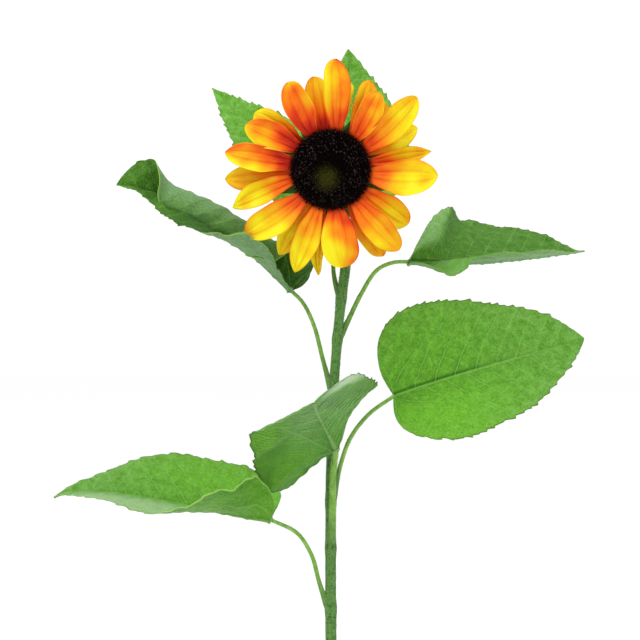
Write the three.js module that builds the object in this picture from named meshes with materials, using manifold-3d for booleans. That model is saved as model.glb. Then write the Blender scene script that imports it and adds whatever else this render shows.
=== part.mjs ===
// A dwarf sunflower in flower, rooted in the ground: one leaning stem, seven leaf stalks with
// their heart-shaped leaves, a green receptacle with pointed bracts, the seed disc and its ring
// of ray petals. Millimetres, +Z up. The origin is the middle of the stem's flat cut at ground
// level, and the flower looks along -Y, a little to the left and down.
import * as THREE from 'three';
import { mergeVertices } from 'three/addons/utils/BufferGeometryUtils.js';
import Module from 'manifold-3d';

const wasm = await Module();
wasm.setup();

// ---------------------------------------------------------------- driving dimensions

const GAP = 0.3; // air between two pieces that touch on the plant

const STEM_SIDES = 12;
const STEM_ROWS = 34;
const STEM_NECK = 15.5; // the stem's top lies this far behind the flower's centre
const SWELLING = 0.45; // how far the stem swells where a leaf stalk leaves it
const SWELLING_REACH = 4;
const FLARE = 1.6; // how far the stem widens at the ground
const FLARE_REACH = 12;

const STALK_SIDES = 6;
const STALK_ROWS = 11;

const LEAF_THICK = 1.4;
const LEAF_ROWS = 24; // every second row stands out as a tooth of the margin
const LEAF_COLUMNS = [-1, -0.7, -0.38, -0.1, 0, 0.1, 0.38, 0.7, 1];
const LEAF_SPAN = [0.012, 0.992]; // the first and last cross line, as shares of the length
const TOOTH = 1.2;
const RIB_RISE = 0.9; // the midrib stands proud of the underside, less towards the tip
const SWELL_SKEW = 0.65; // under 1 puts a leaf's widest place nearer its foot
const SWELL_FULLNESS = 0.8; // under 1 makes the outline fuller
const VEIN_SLANT = 1.6; // over 1 lets the cross lines run forward from the midrib

const HEAD_CENTRE = new THREE.Vector3(0, -24, 320);
const HEAD_FACING = new THREE.Vector3(-0.05, -0.985, -0.1).normalize();
const DISC_RADIUS = 24.6;
const DISC_SEAT_RADIUS = 20.5;
const DISC_HEIGHT = 8.5;
const DISC_EDGE = [5.2, 6.6]; // heights where the disc is widest and where its face begins
const DISC_DIMPLE = 3;
const DIMPLE_SHARE = 0.35; // how far the dimple reaches, as a share of the face
const RECEPTACLE_RADIUS = 24;
const NECK_RADIUS = 4.2;

const BRACTS = 18;
const BRACT_ROOT = 19;
const BRACT_WIDTH = 8.5;
const BRACT_LENGTHS = [15, 19]; // in turn round the receptacle
const BRACT_THICK = 1;
const BRACT_FALL = 4.5; // the tips bend back by this much

const HEAD_SIDES = 28; // facets round the disc and the receptacle

const PETAL_THICK = 0.8;
const PETAL_ROOT = 21.5; // petals start this far from the flower's axis
const PETAL_ROWS = 8;
const PETAL_COLUMNS = [-1, -0.5, 0, 0.5, 1];
const PETAL_CUP = 2.2; // how far a petal's edges stand over its middle
const PETAL_WIDEST = 0.6; // as a share of its length
const PETAL_CLAW = 0.22; // its root's width, as a share of its width

// The stem's line from the ground to the neck, and its radius at equal steps along it.
const STEM_LINE = [
  [0, 0, 0], [0, 0, 39], [-0.2, 0, 87], [0, 0, 135], [1.2, 0, 183], [3.3, 0, 213],
  [6, 0, 243], [8.6, 0, 263], [9, 1.5, 280], [7.5, 4.5, 297], [5, 6, 311],
];
const STEM_RADII = [3.4, 3.3, 3.2, 3.1, 3, 2.9, 3, 3.1, 3.5];

// Each leaf stalk by name: its line from the stem to the leaf's foot, and its radius at
// equal steps along it.
const STALKS = {
  lower_left: {
    line: [[-1, 0, 56], [-6.9, -2, 73.4], [-11.7, -4, 90.4], [-20.4, -5, 103.6], [-36.2, -6, 111.7]],
    radii: [1.9, 1.3, 1.2, 1.1],
  },
  front: {
    line: [[0.9, -2, 102], [0.9, -6.2, 120.5], [1.2, -7.5, 138.5], [2.9, -10, 153]],
    radii: [2.2, 2, 1.9, 1.7],
  },
  right: {
    line: [[2, 0, 125], [5.7, -3, 144.2], [11.9, -6, 161.1], [22.6, -9, 174.9], [37.7, -12, 186]],
    radii: [1.9, 1.3, 1.2, 1.1],
  },
  upper_left: {
    line: [[1, 0.5, 186], [-4.8, 3, 207], [-10.2, 8, 227.4], [-16.8, 12, 241.2], [-24.3, 16, 249]],
    radii: [1.9, 1.3, 1.2, 1.1],
  },
  upper_right: {
    line: [[4, 0, 217.8], [10.2, 2, 230.4], [18.1, 4, 246.6], [27.7, 5, 261.1], [37.3, 5, 265.6],
      [46.7, 6, 266.2]],
    radii: [1.9, 1.4, 1.2, 1.1],
  },
  back_left: {
    line: [[8.4, 0.5, 265.8], [6.1, 8, 276.2], [0.1, 16, 290.3], [-7.8, 24, 306.5]],
    radii: [1.7, 1.2, 1.1, 1],
  },
  back_top: {
    line: [[6, 0, 241.8], [2.3, 5, 255.1], [1.5, 12, 266], [5.6, 27, 288.8], [13, 40, 305.6]],
    radii: [1.7, 1.2, 1.1, 1],
  },
};

// Each leaf by name. rib: the midrib's foot, its two handles and its tip. facing: the way the
// upper side looks, at equal steps from foot to tip. The rest is given for the left and the
// right half, seen on the upper side with the tip ahead. half: half-width as a share of the
// length. lobe: how far the half reaches back past the foot, as such a share. rise: degrees
// that the half stands up from the midrib, at equal steps from foot to tip. curl: degrees that
// it turns on between midrib and margin.
const LEAVES = {
  lower_left: {
    rib: [[-36.2, -6, 111.7], [-78, -16, 118], [-144, -6, 137], [-167, 8, 124]],
    facing: [[0.1, -0.5, 0.8], [0, -0.5, 0.86]],
    half: [0.36, 0.38],
    lobe: [-0.02, 0.12],
    rise: [[85, 50, 30, 27, 26, 25], [-6, -8, -4, 4, 8, 8]],
    curl: [[30, 10, 0, 0], [0, 10, 0]],
  },
  front: {
    rib: [[2.9, -10, 153], [-3, -12, 166], [-14, -20, 184], [-9, -102, 185]],
    facing: [[0.1, 1, 0.2], [-0.62, 0.2, 0.78], [-0.62, 0, 0.78]],
    half: [0.34, 0.46],
    lobe: [0, 0.34],
    rise: [[4, -2, -6, -2, 4], [0, 4, 12, 8, 4]],
    curl: [[0, 0], [0, 0]],
  },
  right: {
    rib: [[37.7, -12, 186], [70, -20, 198], [112, -22, 209], [151, -8, 220]],
    facing: [[-0.1, -0.95, 0.3], [0, -0.95, 0.25]],
    half: [0.385, 0.375],
    lobe: [0.11, 0.1],
    rise: [[12, 10, 6, 3, 0], [34, 28, 22, 16, 10]],
    curl: [[0, 0], [0, 0]],
  },
  upper_left: {
    rib: [[-24.3, 16, 249], [-41, 14, 277], [-84, 8, 309], [-129, 4, 312.5]],
    facing: [[0.45, -0.3, 0.78], [0.5, -0.2, 0.85], [0.4, -0.75, 0.6]],
    half: [0.37, 0.37],
    lobe: [-0.05, 0.12],
    rise: [[28, 20, -3, -3, 18, 40], [30, 35, 55, 70, 72, 72, 70, 60, 40, 20, 5]],
    curl: [[0, 0], [-20, 0, 120, 200, 210, 215, 240, 310, 300, 120, -20]],
  },
  upper_right: {
    rib: [[46.7, 6, 266.2], [72, 20, 264], [117, 40, 268], [158, 55, 274]],
    facing: [[0, -0.5, 0.866], [0, -0.5, 0.866]],
    half: [0.38, 0.36],
    lobe: [-0.1, -0.14],
    rise: [[40, 28, 15, 10, 10], [4, 20, 30, 30, 30]],
    curl: [[-50, -20, -10, 0, 0], [0, 0]],
  },
  back_left: {
    rib: [[-7.8, 24, 306.5], [-25, 34, 326], [-50, 44, 352], [-73, 42, 374]],
    facing: [[0.2, -0.8, 0.5], [0.2, -0.8, 0.5]],
    half: [0.33, 0.33],
    lobe: [0.12, 0.12],
    rise: [[10, 10], [10, 10]],
    curl: [[0, 0], [0, 0]],
  },
  back_top: {
    rib: [[13, 40, 305.6], [16, 60, 336], [13, 72, 374], [11, 62, 400]],
    facing: [[-0.05, -0.95, 0.3], [0, -0.95, 0.1]],
    half: [0.34, 0.31],
    lobe: [0.12, 0.12],
    rise: [[10, 10], [10, 10]],
    curl: [[0, 0], [0, 0]],
  },
};

// The petals' three whorls, front to back: height of the roots over the receptacle, degrees
// that a petal lifts towards the front at its root, and degrees that it falls back to its tip.
const WHORLS = [
  { height: 3.2, lift: 24, fall: -34 },
  { height: 1.8, lift: 14, fall: -34 },
  { height: 0.7, lift: 4, fall: -30 },
];

// Each petal: its bearing in degrees, counted anticlockwise from the right as one looks at the
// flower, how far its tip reaches from the flower's axis, its width, and its whorl.
const PETALS = [
  [88, 68, 16, 0], [114, 57, 14.5, 0], [152, 58, 16.5, 0], [170.5, 65, 16.5, 0],
  [201, 62, 14.5, 0], [216, 62, 19, 0], [250.5, 64, 15.5, 0], [277, 58, 22, 0],
  [310, 62, 17, 0], [355.5, 63, 21, 0], [38.7, 66, 17, 0], [59, 55, 15.5, 0],
  [100.5, 57, 14.5, 1], [141, 58, 16.5, 1], [186, 63, 15.5, 1], [240, 59, 13, 1],
  [324, 56, 17.5, 1], [11, 60, 13, 1], [68, 59, 14.5, 1], [77, 53, 13, 1],
  [264, 63, 11, 2], [300, 60, 14, 2], [26, 56, 14, 2], [50, 52, 12, 2],
];

// ---------------------------------------------------------------- materials

function finish(color, roughness) {
  return new THREE.MeshStandardMaterial({ color, roughness, metalness: 0, side: THREE.DoubleSide });
}

const STEM_GREEN = finish(0x5f8a4e, 0.7);
const STALK_GREEN = finish(0x8fb552, 0.65);
const LEAF_GREEN = finish(0x5fa83a, 0.6);
const BRACT_GREEN = finish(0x3f7a35, 0.65);
const PETAL_YELLOW = finish(0xf9a512, 0.5);
const DISC_BROWN = finish(0x2a1a12, 0.9);

// ---------------------------------------------------------------- helpers

const vector = (xyz) => new THREE.Vector3(...xyz);
const radians = THREE.MathUtils.degToRad;

// The value at share t of a list of values at equal steps, eased from one to the next.
function eased(values, t) {
  const steps = values.length - 1;
  const step = Math.min(Math.floor(t * steps), steps - 1);
  const ease = THREE.MathUtils.smoothstep(t * steps - step, 0, 1);
  return values[step] * (1 - ease) + values[step + 1] * ease;
}

// The same for a list of directions.
function easedDirection(directions, t) {
  const units = directions.map((xyz) => vector(xyz).normalize());
  const axis = (name) => eased(units.map((unit) => unit[name]), t);
  return new THREE.Vector3(axis('x'), axis('y'), axis('z'));
}

function geometryFrom(points, triangles) {
  const geometry = new THREE.BufferGeometry().setFromPoints(points);
  geometry.setIndex(triangles);
  return geometry;
}

// A closed solid from a geometry whose faces share their corners once merged.
function solidFrom(geometry) {
  const plain = geometry.clone();
  plain.deleteAttribute('normal');
  plain.deleteAttribute('uv');
  const merged = mergeVertices(plain, 1e-4);
  const corners = [];
  for (let i = 0; i < merged.index.count; i += 3) {
    const [a, b, c] = [0, 1, 2].map((k) => merged.index.getX(i + k));
    if (a !== b && b !== c && c !== a) corners.push(a, b, c);
  }
  return new wasm.Manifold(new wasm.Mesh({
    numProp: 3,
    vertProperties: new Float32Array(merged.attributes.position.array),
    triVerts: new Uint32Array(corners),
  }));
}

// The geometry of a solid's largest piece, so that slivers left by a cut are dropped.
function geometryOf(solid) {
  const pieces = solid.decompose().sort((a, b) => b.volume() - a.volume());
  const mesh = pieces[0].getMesh();
  const geometry = new THREE.BufferGeometry();
  geometry.setAttribute('position', new THREE.BufferAttribute(mesh.vertProperties, 3));
  geometry.setIndex(new THREE.BufferAttribute(mesh.triVerts, 1));
  geometry.computeVertexNormals();
  return geometry;
}

function meshOf(name, solid, material) {
  const mesh = new THREE.Mesh(geometryOf(solid), material);
  mesh.name = name;
  return mesh;
}

// A blade between two like grids of points, front and back, closed along its rim.
function blade(front, back) {
  const rows = front.length;
  const columns = front[0].length;
  const at = (side, row, column) => (side * rows + row) * columns + column;
  const triangles = [];
  const quad = (a, b, c, d) => triangles.push(a, b, c, a, c, d);
  for (let i = 0; i < rows - 1; i++) {
    for (let j = 0; j < columns - 1; j++) {
      quad(at(0, i, j), at(0, i, j + 1), at(0, i + 1, j + 1), at(0, i + 1, j));
      quad(at(1, i, j), at(1, i + 1, j), at(1, i + 1, j + 1), at(1, i, j + 1));
    }
    const last = columns - 1;
    quad(at(0, i, 0), at(0, i + 1, 0), at(1, i + 1, 0), at(1, i, 0));
    quad(at(0, i, last), at(1, i, last), at(1, i + 1, last), at(0, i + 1, last));
  }
  for (let j = 0; j < columns - 1; j++) {
    const end = rows - 1;
    quad(at(0, 0, j), at(1, 0, j), at(1, 0, j + 1), at(0, 0, j + 1));
    quad(at(0, end, j), at(0, end, j + 1), at(1, end, j + 1), at(1, end, j));
  }
  return solidFrom(geometryFrom([...front.flat(), ...back.flat()], triangles));
}

// The blade over a surface point(u, v): the two sides lie off it along its normal.
function bladeOver(point, stations, columns, offFront, offBack) {
  const step = 1e-3;
  const front = [];
  const back = [];
  for (const u of stations) {
    const normals = columns.map((v) => {
      const along = point(u + step, v).sub(point(u - step, v));
      const across = point(u, Math.min(v + step, 1)).sub(point(u, Math.max(v - step, -1)));
      return across.cross(along).normalize();
    });
    const row = columns.map((v) => point(u, v));
    front.push(row.map((p, j) => p.clone().addScaledVector(normals[j], offFront(u, columns[j]))));
    back.push(row.map((p, j) => p.clone().addScaledVector(normals[j], -offBack(u, columns[j]))));
  }
  return blade(front, back);
}

// A round limb along a curve, with a flat cut at each end.
function limb(curve, radiusAt, rows, sides) {
  const frames = curve.computeFrenetFrames(rows, false);
  const points = [];
  for (let i = 0; i <= rows; i++) {
    const centre = curve.getPointAt(i / rows);
    const radius = radiusAt(i / rows, centre);
    for (let k = 0; k < sides; k++) {
      const turn = (2 * Math.PI * k) / sides;
      points.push(centre.clone()
        .addScaledVector(frames.normals[i], radius * Math.cos(turn))
        .addScaledVector(frames.binormals[i], radius * Math.sin(turn)));
    }
  }
  const foot = points.push(curve.getPointAt(0)) - 1;
  const tip = points.push(curve.getPointAt(1)) - 1;
  const triangles = [];
  for (let k = 0; k < sides; k++) {
    const next = (k + 1) % sides;
    triangles.push(foot, next, k, tip, rows * sides + k, rows * sides + next);
    for (let i = 0; i < rows; i++) {
      const [a, b] = [i * sides + k, i * sides + next];
      triangles.push(a, b, b + sides, a, b + sides, a + sides);
    }
  }
  return solidFrom(geometryFrom(points, triangles));
}

// ---------------------------------------------------------------- stem and leaf stalks

const curveThrough = (points) => new THREE.CatmullRomCurve3(points, false, 'centripetal');

function stemCurve() {
  const behindHead = (far) => HEAD_CENTRE.clone().addScaledVector(HEAD_FACING, -far);
  return curveThrough([...STEM_LINE.map(vector), behindHead(STEM_NECK + 9), behindHead(STEM_NECK)]);
}

function stemRadius(t, centre) {
  let radius = eased(STEM_RADII, t) + FLARE * Math.exp(-((centre.z / FLARE_REACH) ** 2));
  for (const { line } of Object.values(STALKS)) {
    const away = (centre.z - line[0][2] - SWELLING_REACH / 2) / SWELLING_REACH;
    radius += SWELLING * Math.exp(-(away ** 2));
  }
  return radius;
}

function stemSolid(grow) {
  const radiusAt = (t, centre) => stemRadius(t, centre) + grow;
  return limb(stemCurve(), radiusAt, STEM_ROWS, STEM_SIDES);
}

// A stalk ends just short of its leaf.
function stalkSolid(stalk, grow) {
  const points = stalk.line.map(vector);
  const tip = points[points.length - 1];
  const inward = points[points.length - 2].clone().sub(tip).normalize();
  tip.addScaledVector(inward, GAP - grow);
  return limb(curveThrough(points), (t) => eased(stalk.radii, t) + grow, STALK_ROWS, STALK_SIDES);
}

// ---------------------------------------------------------------- leaves

function leafPoint(leaf, curve, u, v, tooth) {
  const length = curve.getLength();
  const side = v < 0 ? 0 : 1;
  const across = Math.abs(v);
  const half = leaf.half[side] * length;
  const swell = Math.sin(Math.PI * u ** SWELL_SKEW) ** SWELL_FULLNESS;
  const reach = length * (u - leaf.lobe[side] * Math.sin(Math.PI * Math.sqrt(u)));
  const along = length * u ** VEIN_SLANT * (1 - across) + reach * across;
  const out = (half * swell + tooth) * across;

  // the midrib's place and frame there, carried straight on behind the foot
  const share = THREE.MathUtils.clamp(along / length, 0, 1);
  const tangent = curve.getTangentAt(share);
  const point = curve.getPointAt(share).addScaledVector(tangent, Math.min(along, 0));
  const normal = easedDirection(leaf.facing, share);
  normal.addScaledVector(tangent, -normal.dot(tangent)).normalize();
  const right = tangent.clone().cross(normal);

  // the half leaf leaves the midrib at its rise and bends on as an arc
  const rise = radians(eased(leaf.rise[side], u));
  const bend = (radians(eased(leaf.curl[side], u)) * out) / half / 2;
  const chord = out * (Math.abs(bend) < 1e-6 ? 1 : Math.sin(bend) / bend);
  return point
    .addScaledVector(right, Math.sign(v) * chord * Math.cos(rise + bend))
    .addScaledVector(normal, chord * Math.sin(rise + bend));
}

function leafSolid(leaf) {
  const curve = new THREE.CubicBezierCurve3(...leaf.rib.map(vector));
  const [first, last] = LEAF_SPAN;
  const stations = Array.from({ length: LEAF_ROWS + 1 }, (_, i) => {
    return first + ((last - first) * i) / LEAF_ROWS;
  });
  const toothAt = (u) => {
    const row = Math.round(((u - first) / (last - first)) * LEAF_ROWS);
    return row % 2 ? TOOTH * Math.sqrt(Math.sin(Math.PI * u)) : 0;
  };
  const point = (u, v) => leafPoint(leaf, curve, u, v, toothAt(u));
  const ribAt = (u, v) => (v === 0 ? RIB_RISE * (1 - 0.75 * u) : 0);
  const halfThick = LEAF_THICK / 2;
  return bladeOver(point, stations, LEAF_COLUMNS, () => halfThick, (u, v) => halfThick + ribAt(u, v));
}

// ---------------------------------------------------------------- flower head, facing +Z

function discSolid(grow) {
  const [widest, faceEdge] = DISC_EDGE;
  const profile = [[0, GAP], [DISC_SEAT_RADIUS, GAP], [DISC_RADIUS, widest]];
  const faceSteps = 10;
  for (let i = faceSteps; i >= 0; i--) {
    const share = i / faceSteps;
    const dimple = DISC_DIMPLE * Math.exp(-((share / DIMPLE_SHARE) ** 2));
    const faceHeight = DISC_HEIGHT - (DISC_HEIGHT - faceEdge) * share ** 4;
    profile.push([share * (DISC_RADIUS - 0.6), faceHeight - dimple]);
  }
  const spread = 1 + grow / DISC_RADIUS;
  const outline = profile.map(([r, h]) => new THREE.Vector2(r * spread, h + (h > GAP ? grow : -grow)));
  return solidFrom(new THREE.LatheGeometry(outline, HEAD_SIDES).rotateX(Math.PI / 2));
}

function petalPoint([bearing, tip, width, whorl], grow, u, v) {
  const { height, lift, fall } = WHORLS[whorl];
  const [start, turn] = [radians(lift), radians(fall)];
  const angle = start + turn * u;
  const outward = (s) => (Math.sin(start + turn * s) - Math.sin(start)) / turn;
  const upward = (s) => (Math.cos(start) - Math.cos(start + turn * s)) / turn;
  const scale = (tip + grow - PETAL_ROOT) / outward(1);

  // the width opens from the claw to the widest place and closes in a rounded tip
  const opened = Math.sin((Math.PI / 2) * Math.min(u / PETAL_WIDEST, 1)) ** 1.3;
  const opening = PETAL_CLAW + (1 - PETAL_CLAW) * opened;
  const beyond = Math.max((u - PETAL_WIDEST) / (1 - PETAL_WIDEST), 0);
  const closing = Math.sqrt(Math.max(1 - beyond ** 2.6, 0));
  const out = v * ((width / 2) * opening * closing + grow);
  const cup = PETAL_CUP * v * v * Math.sin(Math.PI * u);

  const radial = PETAL_ROOT + scale * outward(u) - Math.sin(angle) * cup;
  const axial = height + scale * upward(u) + Math.cos(angle) * cup;
  const turnTo = radians(bearing);
  return new THREE.Vector3(
    radial * Math.cos(turnTo) - out * Math.sin(turnTo),
    radial * Math.sin(turnTo) + out * Math.cos(turnTo),
    axial,
  );
}

function petalSolid(petal, grow) {
  const stations = Array.from({ length: PETAL_ROWS + 1 }, (_, i) => 0.01 + 0.97 * (i / PETAL_ROWS) ** 0.9);
  const off = () => PETAL_THICK / 2 + grow;
  return bladeOver((u, v) => petalPoint(petal, grow, u, -v), stations, PETAL_COLUMNS, off, off);
}

function bractSolid(index) {
  const bearing = (2 * Math.PI * index) / BRACTS;
  const length = BRACT_LENGTHS[index % 2];
  const point = (u, v) => {
    const radial = BRACT_ROOT + length * u;
    const out = -v * (BRACT_WIDTH / 2) * (1 - u ** 1.5) * (0.75 + 0.6 * u);
    const axial = -2.2 - BRACT_FALL * u * u + 0.8 * v * v;
    return new THREE.Vector3(
      radial * Math.cos(bearing) - out * Math.sin(bearing),
      radial * Math.sin(bearing) + out * Math.cos(bearing),
      axial,
    );
  };
  const off = () => BRACT_THICK / 2;
  return bladeOver(point, [0.01, 0.35, 0.7, 0.97], [-1, 0, 1], off, off);
}

function receptacleSolid() {
  const back = -STEM_NECK + GAP;
  const outline = [[0, back], [NECK_RADIUS, back], [7.5, -12], [14, -8], [21, -4.5],
    [RECEPTACLE_RADIUS, -2], [RECEPTACLE_RADIUS, 0], [0, 0]].map(([r, h]) => new THREE.Vector2(r, h));
  let solid = solidFrom(new THREE.LatheGeometry(outline, HEAD_SIDES).rotateX(Math.PI / 2));
  for (let i = 0; i < BRACTS; i++) solid = solid.add(bractSolid(i));
  return solid;
}

function headGroup() {
  const head = new THREE.Group();
  head.up.set(0, 0, 1);
  head.position.copy(HEAD_CENTRE);
  head.lookAt(HEAD_CENTRE.clone().add(HEAD_FACING));
  head.add(meshOf('seed_disc', discSolid(0), DISC_BROWN));

  let taken = discSolid(GAP);
  PETALS.forEach((petal, i) => {
    const name = `ray_petal_${String(i + 1).padStart(2, '0')}`;
    head.add(meshOf(name, petalSolid(petal, 0).subtract(taken), PETAL_YELLOW));
    taken = taken.add(petalSolid(petal, GAP));
  });
  head.add(meshOf('receptacle', receptacleSolid().subtract(taken), BRACT_GREEN));
  return head;
}

// ---------------------------------------------------------------- the plant

const plant = new THREE.Group();
plant.add(meshOf('stem', stemSolid(0), STEM_GREEN));
plant.add(headGroup());

let limbs = stemSolid(GAP);
for (const [name, stalk] of Object.entries(STALKS)) {
  plant.add(meshOf(`leaf_stalk_${name}`, stalkSolid(stalk, 0).subtract(limbs), STALK_GREEN));
}
for (const stalk of Object.values(STALKS)) limbs = limbs.add(stalkSolid(stalk, GAP));
for (const [name, leaf] of Object.entries(LEAVES)) {
  plant.add(meshOf(`leaf_${name}`, leafSolid(leaf).subtract(limbs), LEAF_GREEN));
}

export default plant;
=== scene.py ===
import math
from collections import namedtuple
from functools import lru_cache

import bpy
import numpy as np
from bpy.props import FloatProperty, FloatVectorProperty, IntProperty, PointerProperty
from mathutils import Matrix


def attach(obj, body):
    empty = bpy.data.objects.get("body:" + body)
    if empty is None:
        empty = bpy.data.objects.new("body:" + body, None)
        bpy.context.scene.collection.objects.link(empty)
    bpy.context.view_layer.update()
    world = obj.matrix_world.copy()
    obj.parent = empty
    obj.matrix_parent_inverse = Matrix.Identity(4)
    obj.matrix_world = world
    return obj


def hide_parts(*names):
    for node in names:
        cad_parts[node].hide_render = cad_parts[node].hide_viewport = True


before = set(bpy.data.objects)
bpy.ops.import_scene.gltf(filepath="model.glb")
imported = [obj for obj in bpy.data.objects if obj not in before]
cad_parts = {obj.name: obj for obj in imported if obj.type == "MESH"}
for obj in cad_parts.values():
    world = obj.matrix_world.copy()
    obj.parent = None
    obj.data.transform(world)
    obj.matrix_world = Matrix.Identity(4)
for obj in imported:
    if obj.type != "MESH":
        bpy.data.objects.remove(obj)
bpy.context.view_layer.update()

bl_info = {
    "name": "Sunflower plant",
    "version": (1, 0, 0),
    "blender": (4, 5, 0),
    "location": "3D View > Sidebar > Sunflower",
    "description": "Grows a dwarf sunflower in flower over its solid frame",
    "category": "Add Mesh",
}

# Every table below is in millimetres; a piece is turned to metres as its mesh is made.
MM = 0.001

# ---------------------------------------------------------------- the plant's own tables

# The stem's line from the ground up, its radius at equal steps, and how far behind the head's
# centre it ends.
STEM_LINE = [
    (0, 0, 0), (0, 0, 39), (-0.2, 0, 87), (0, 0, 135), (1.2, 0, 183), (3.3, 0, 213),
    (6, 0, 243), (8.6, 0, 263), (9, 1.5, 280), (7.5, 4.5, 297), (5, 6, 311),
]
STEM_RADII = [3.4, 3.3, 3.2, 3.1, 3, 2.9, 3, 3.1, 3.5]
STEM_NECK = 15.5
# How much wider the stem is at the ground and under each stalk, and over what reach.
STEM_FLARE, STEM_SWELLING = (1.6, 12), (0.45, 4)

# Each leaf stalk: its line from the stem to the leaf's foot, and its radius at equal steps.
STALKS = {
    "lower_left": ([(-1, 0, 56), (-6.9, -2, 73.4), (-11.7, -4, 90.4), (-20.4, -5, 103.6),
                    (-36.2, -6, 111.7)], [1.9, 1.3, 1.2, 1.1]),
    "front": ([(0.3, 0.4, 92), (0.7, -3, 106), (0.9, -6.2, 121), (1.2, -7.5, 138.5),
               (2.9, -10, 153)], [1.9, 2.2, 2.1, 1.9, 1.7]),
    "right": ([(0.8, 0, 120), (5.7, -3, 144.2), (11.9, -6, 161.1), (22.6, -9, 174.9),
               (37.7, -12, 186)], [1.9, 1.3, 1.2, 1.1]),
    "upper_left": ([(1, 0.5, 186), (-4.8, 3, 207), (-10.2, 8, 227.4), (-16.8, 12, 241.2),
                    (-24.3, 16, 249)], [1.9, 1.3, 1.2, 1.1]),
    "upper_right": ([(4, 0, 217.8), (10.2, 2, 230.4), (18.1, 4, 246.6), (27.7, 5, 261.1),
                     (37.3, 5, 265.6), (46.7, 6, 266.2)], [1.9, 1.4, 1.2, 1.1]),
    "back_left": ([(8.4, 0.5, 265.8), (6.1, 8, 276.2), (0.1, 16, 290.3), (-7.8, 24, 306.5)],
                  [1.7, 1.2, 1.1, 1]),
    "back_top": ([(6, 0, 241.8), (2.3, 5, 255.1), (1.5, 12, 266), (5.6, 27, 288.8),
                  (13, 40, 305.6)], [1.7, 1.2, 1.1, 1]),
}

# Each leaf. rib: the midrib's foot, its two handles and its tip. facing: the way the upper side
# looks, at equal steps from foot to tip. Pairs are for the left and the right half, seen on the
# upper side with the tip ahead. half: half-width as a share of the length. lobe: how far the
# half reaches back past the foot, as such a share. rise: degrees that the half stands up from
# the midrib, at equal steps from foot to tip. curl: degrees that it turns on between midrib and
# margin, likewise. taper: where the half starts to narrow, as a share of the length, and by how
# much. hook: how late the lobe sets in, from 1. slim: how slowly the half widens, 0.8 in a full
# leaf. wave: how far the margin waves. fresh: how bright the upper side is, the under
# side, and the upper side at the tip, partly the leaf's own tone and partly painted light and
# shade. down: how downy the leaf is, from 0 to 1. turned: how pale it is where it folds over,
# pale down with painted sheen where the fold catches the light. frost: how white the
# left half's outer part is, white down with painted sheen, and where along the leaf that
# begins. rim: how pale the margin is from below.
PLAIN_LEAF = dict(curl=([0, 0], [0, 0]), hook=(1, 1), slim=(0.8, 0.8), turned=0.0, frost=(0, 0),
                  rim=0.5)
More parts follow.
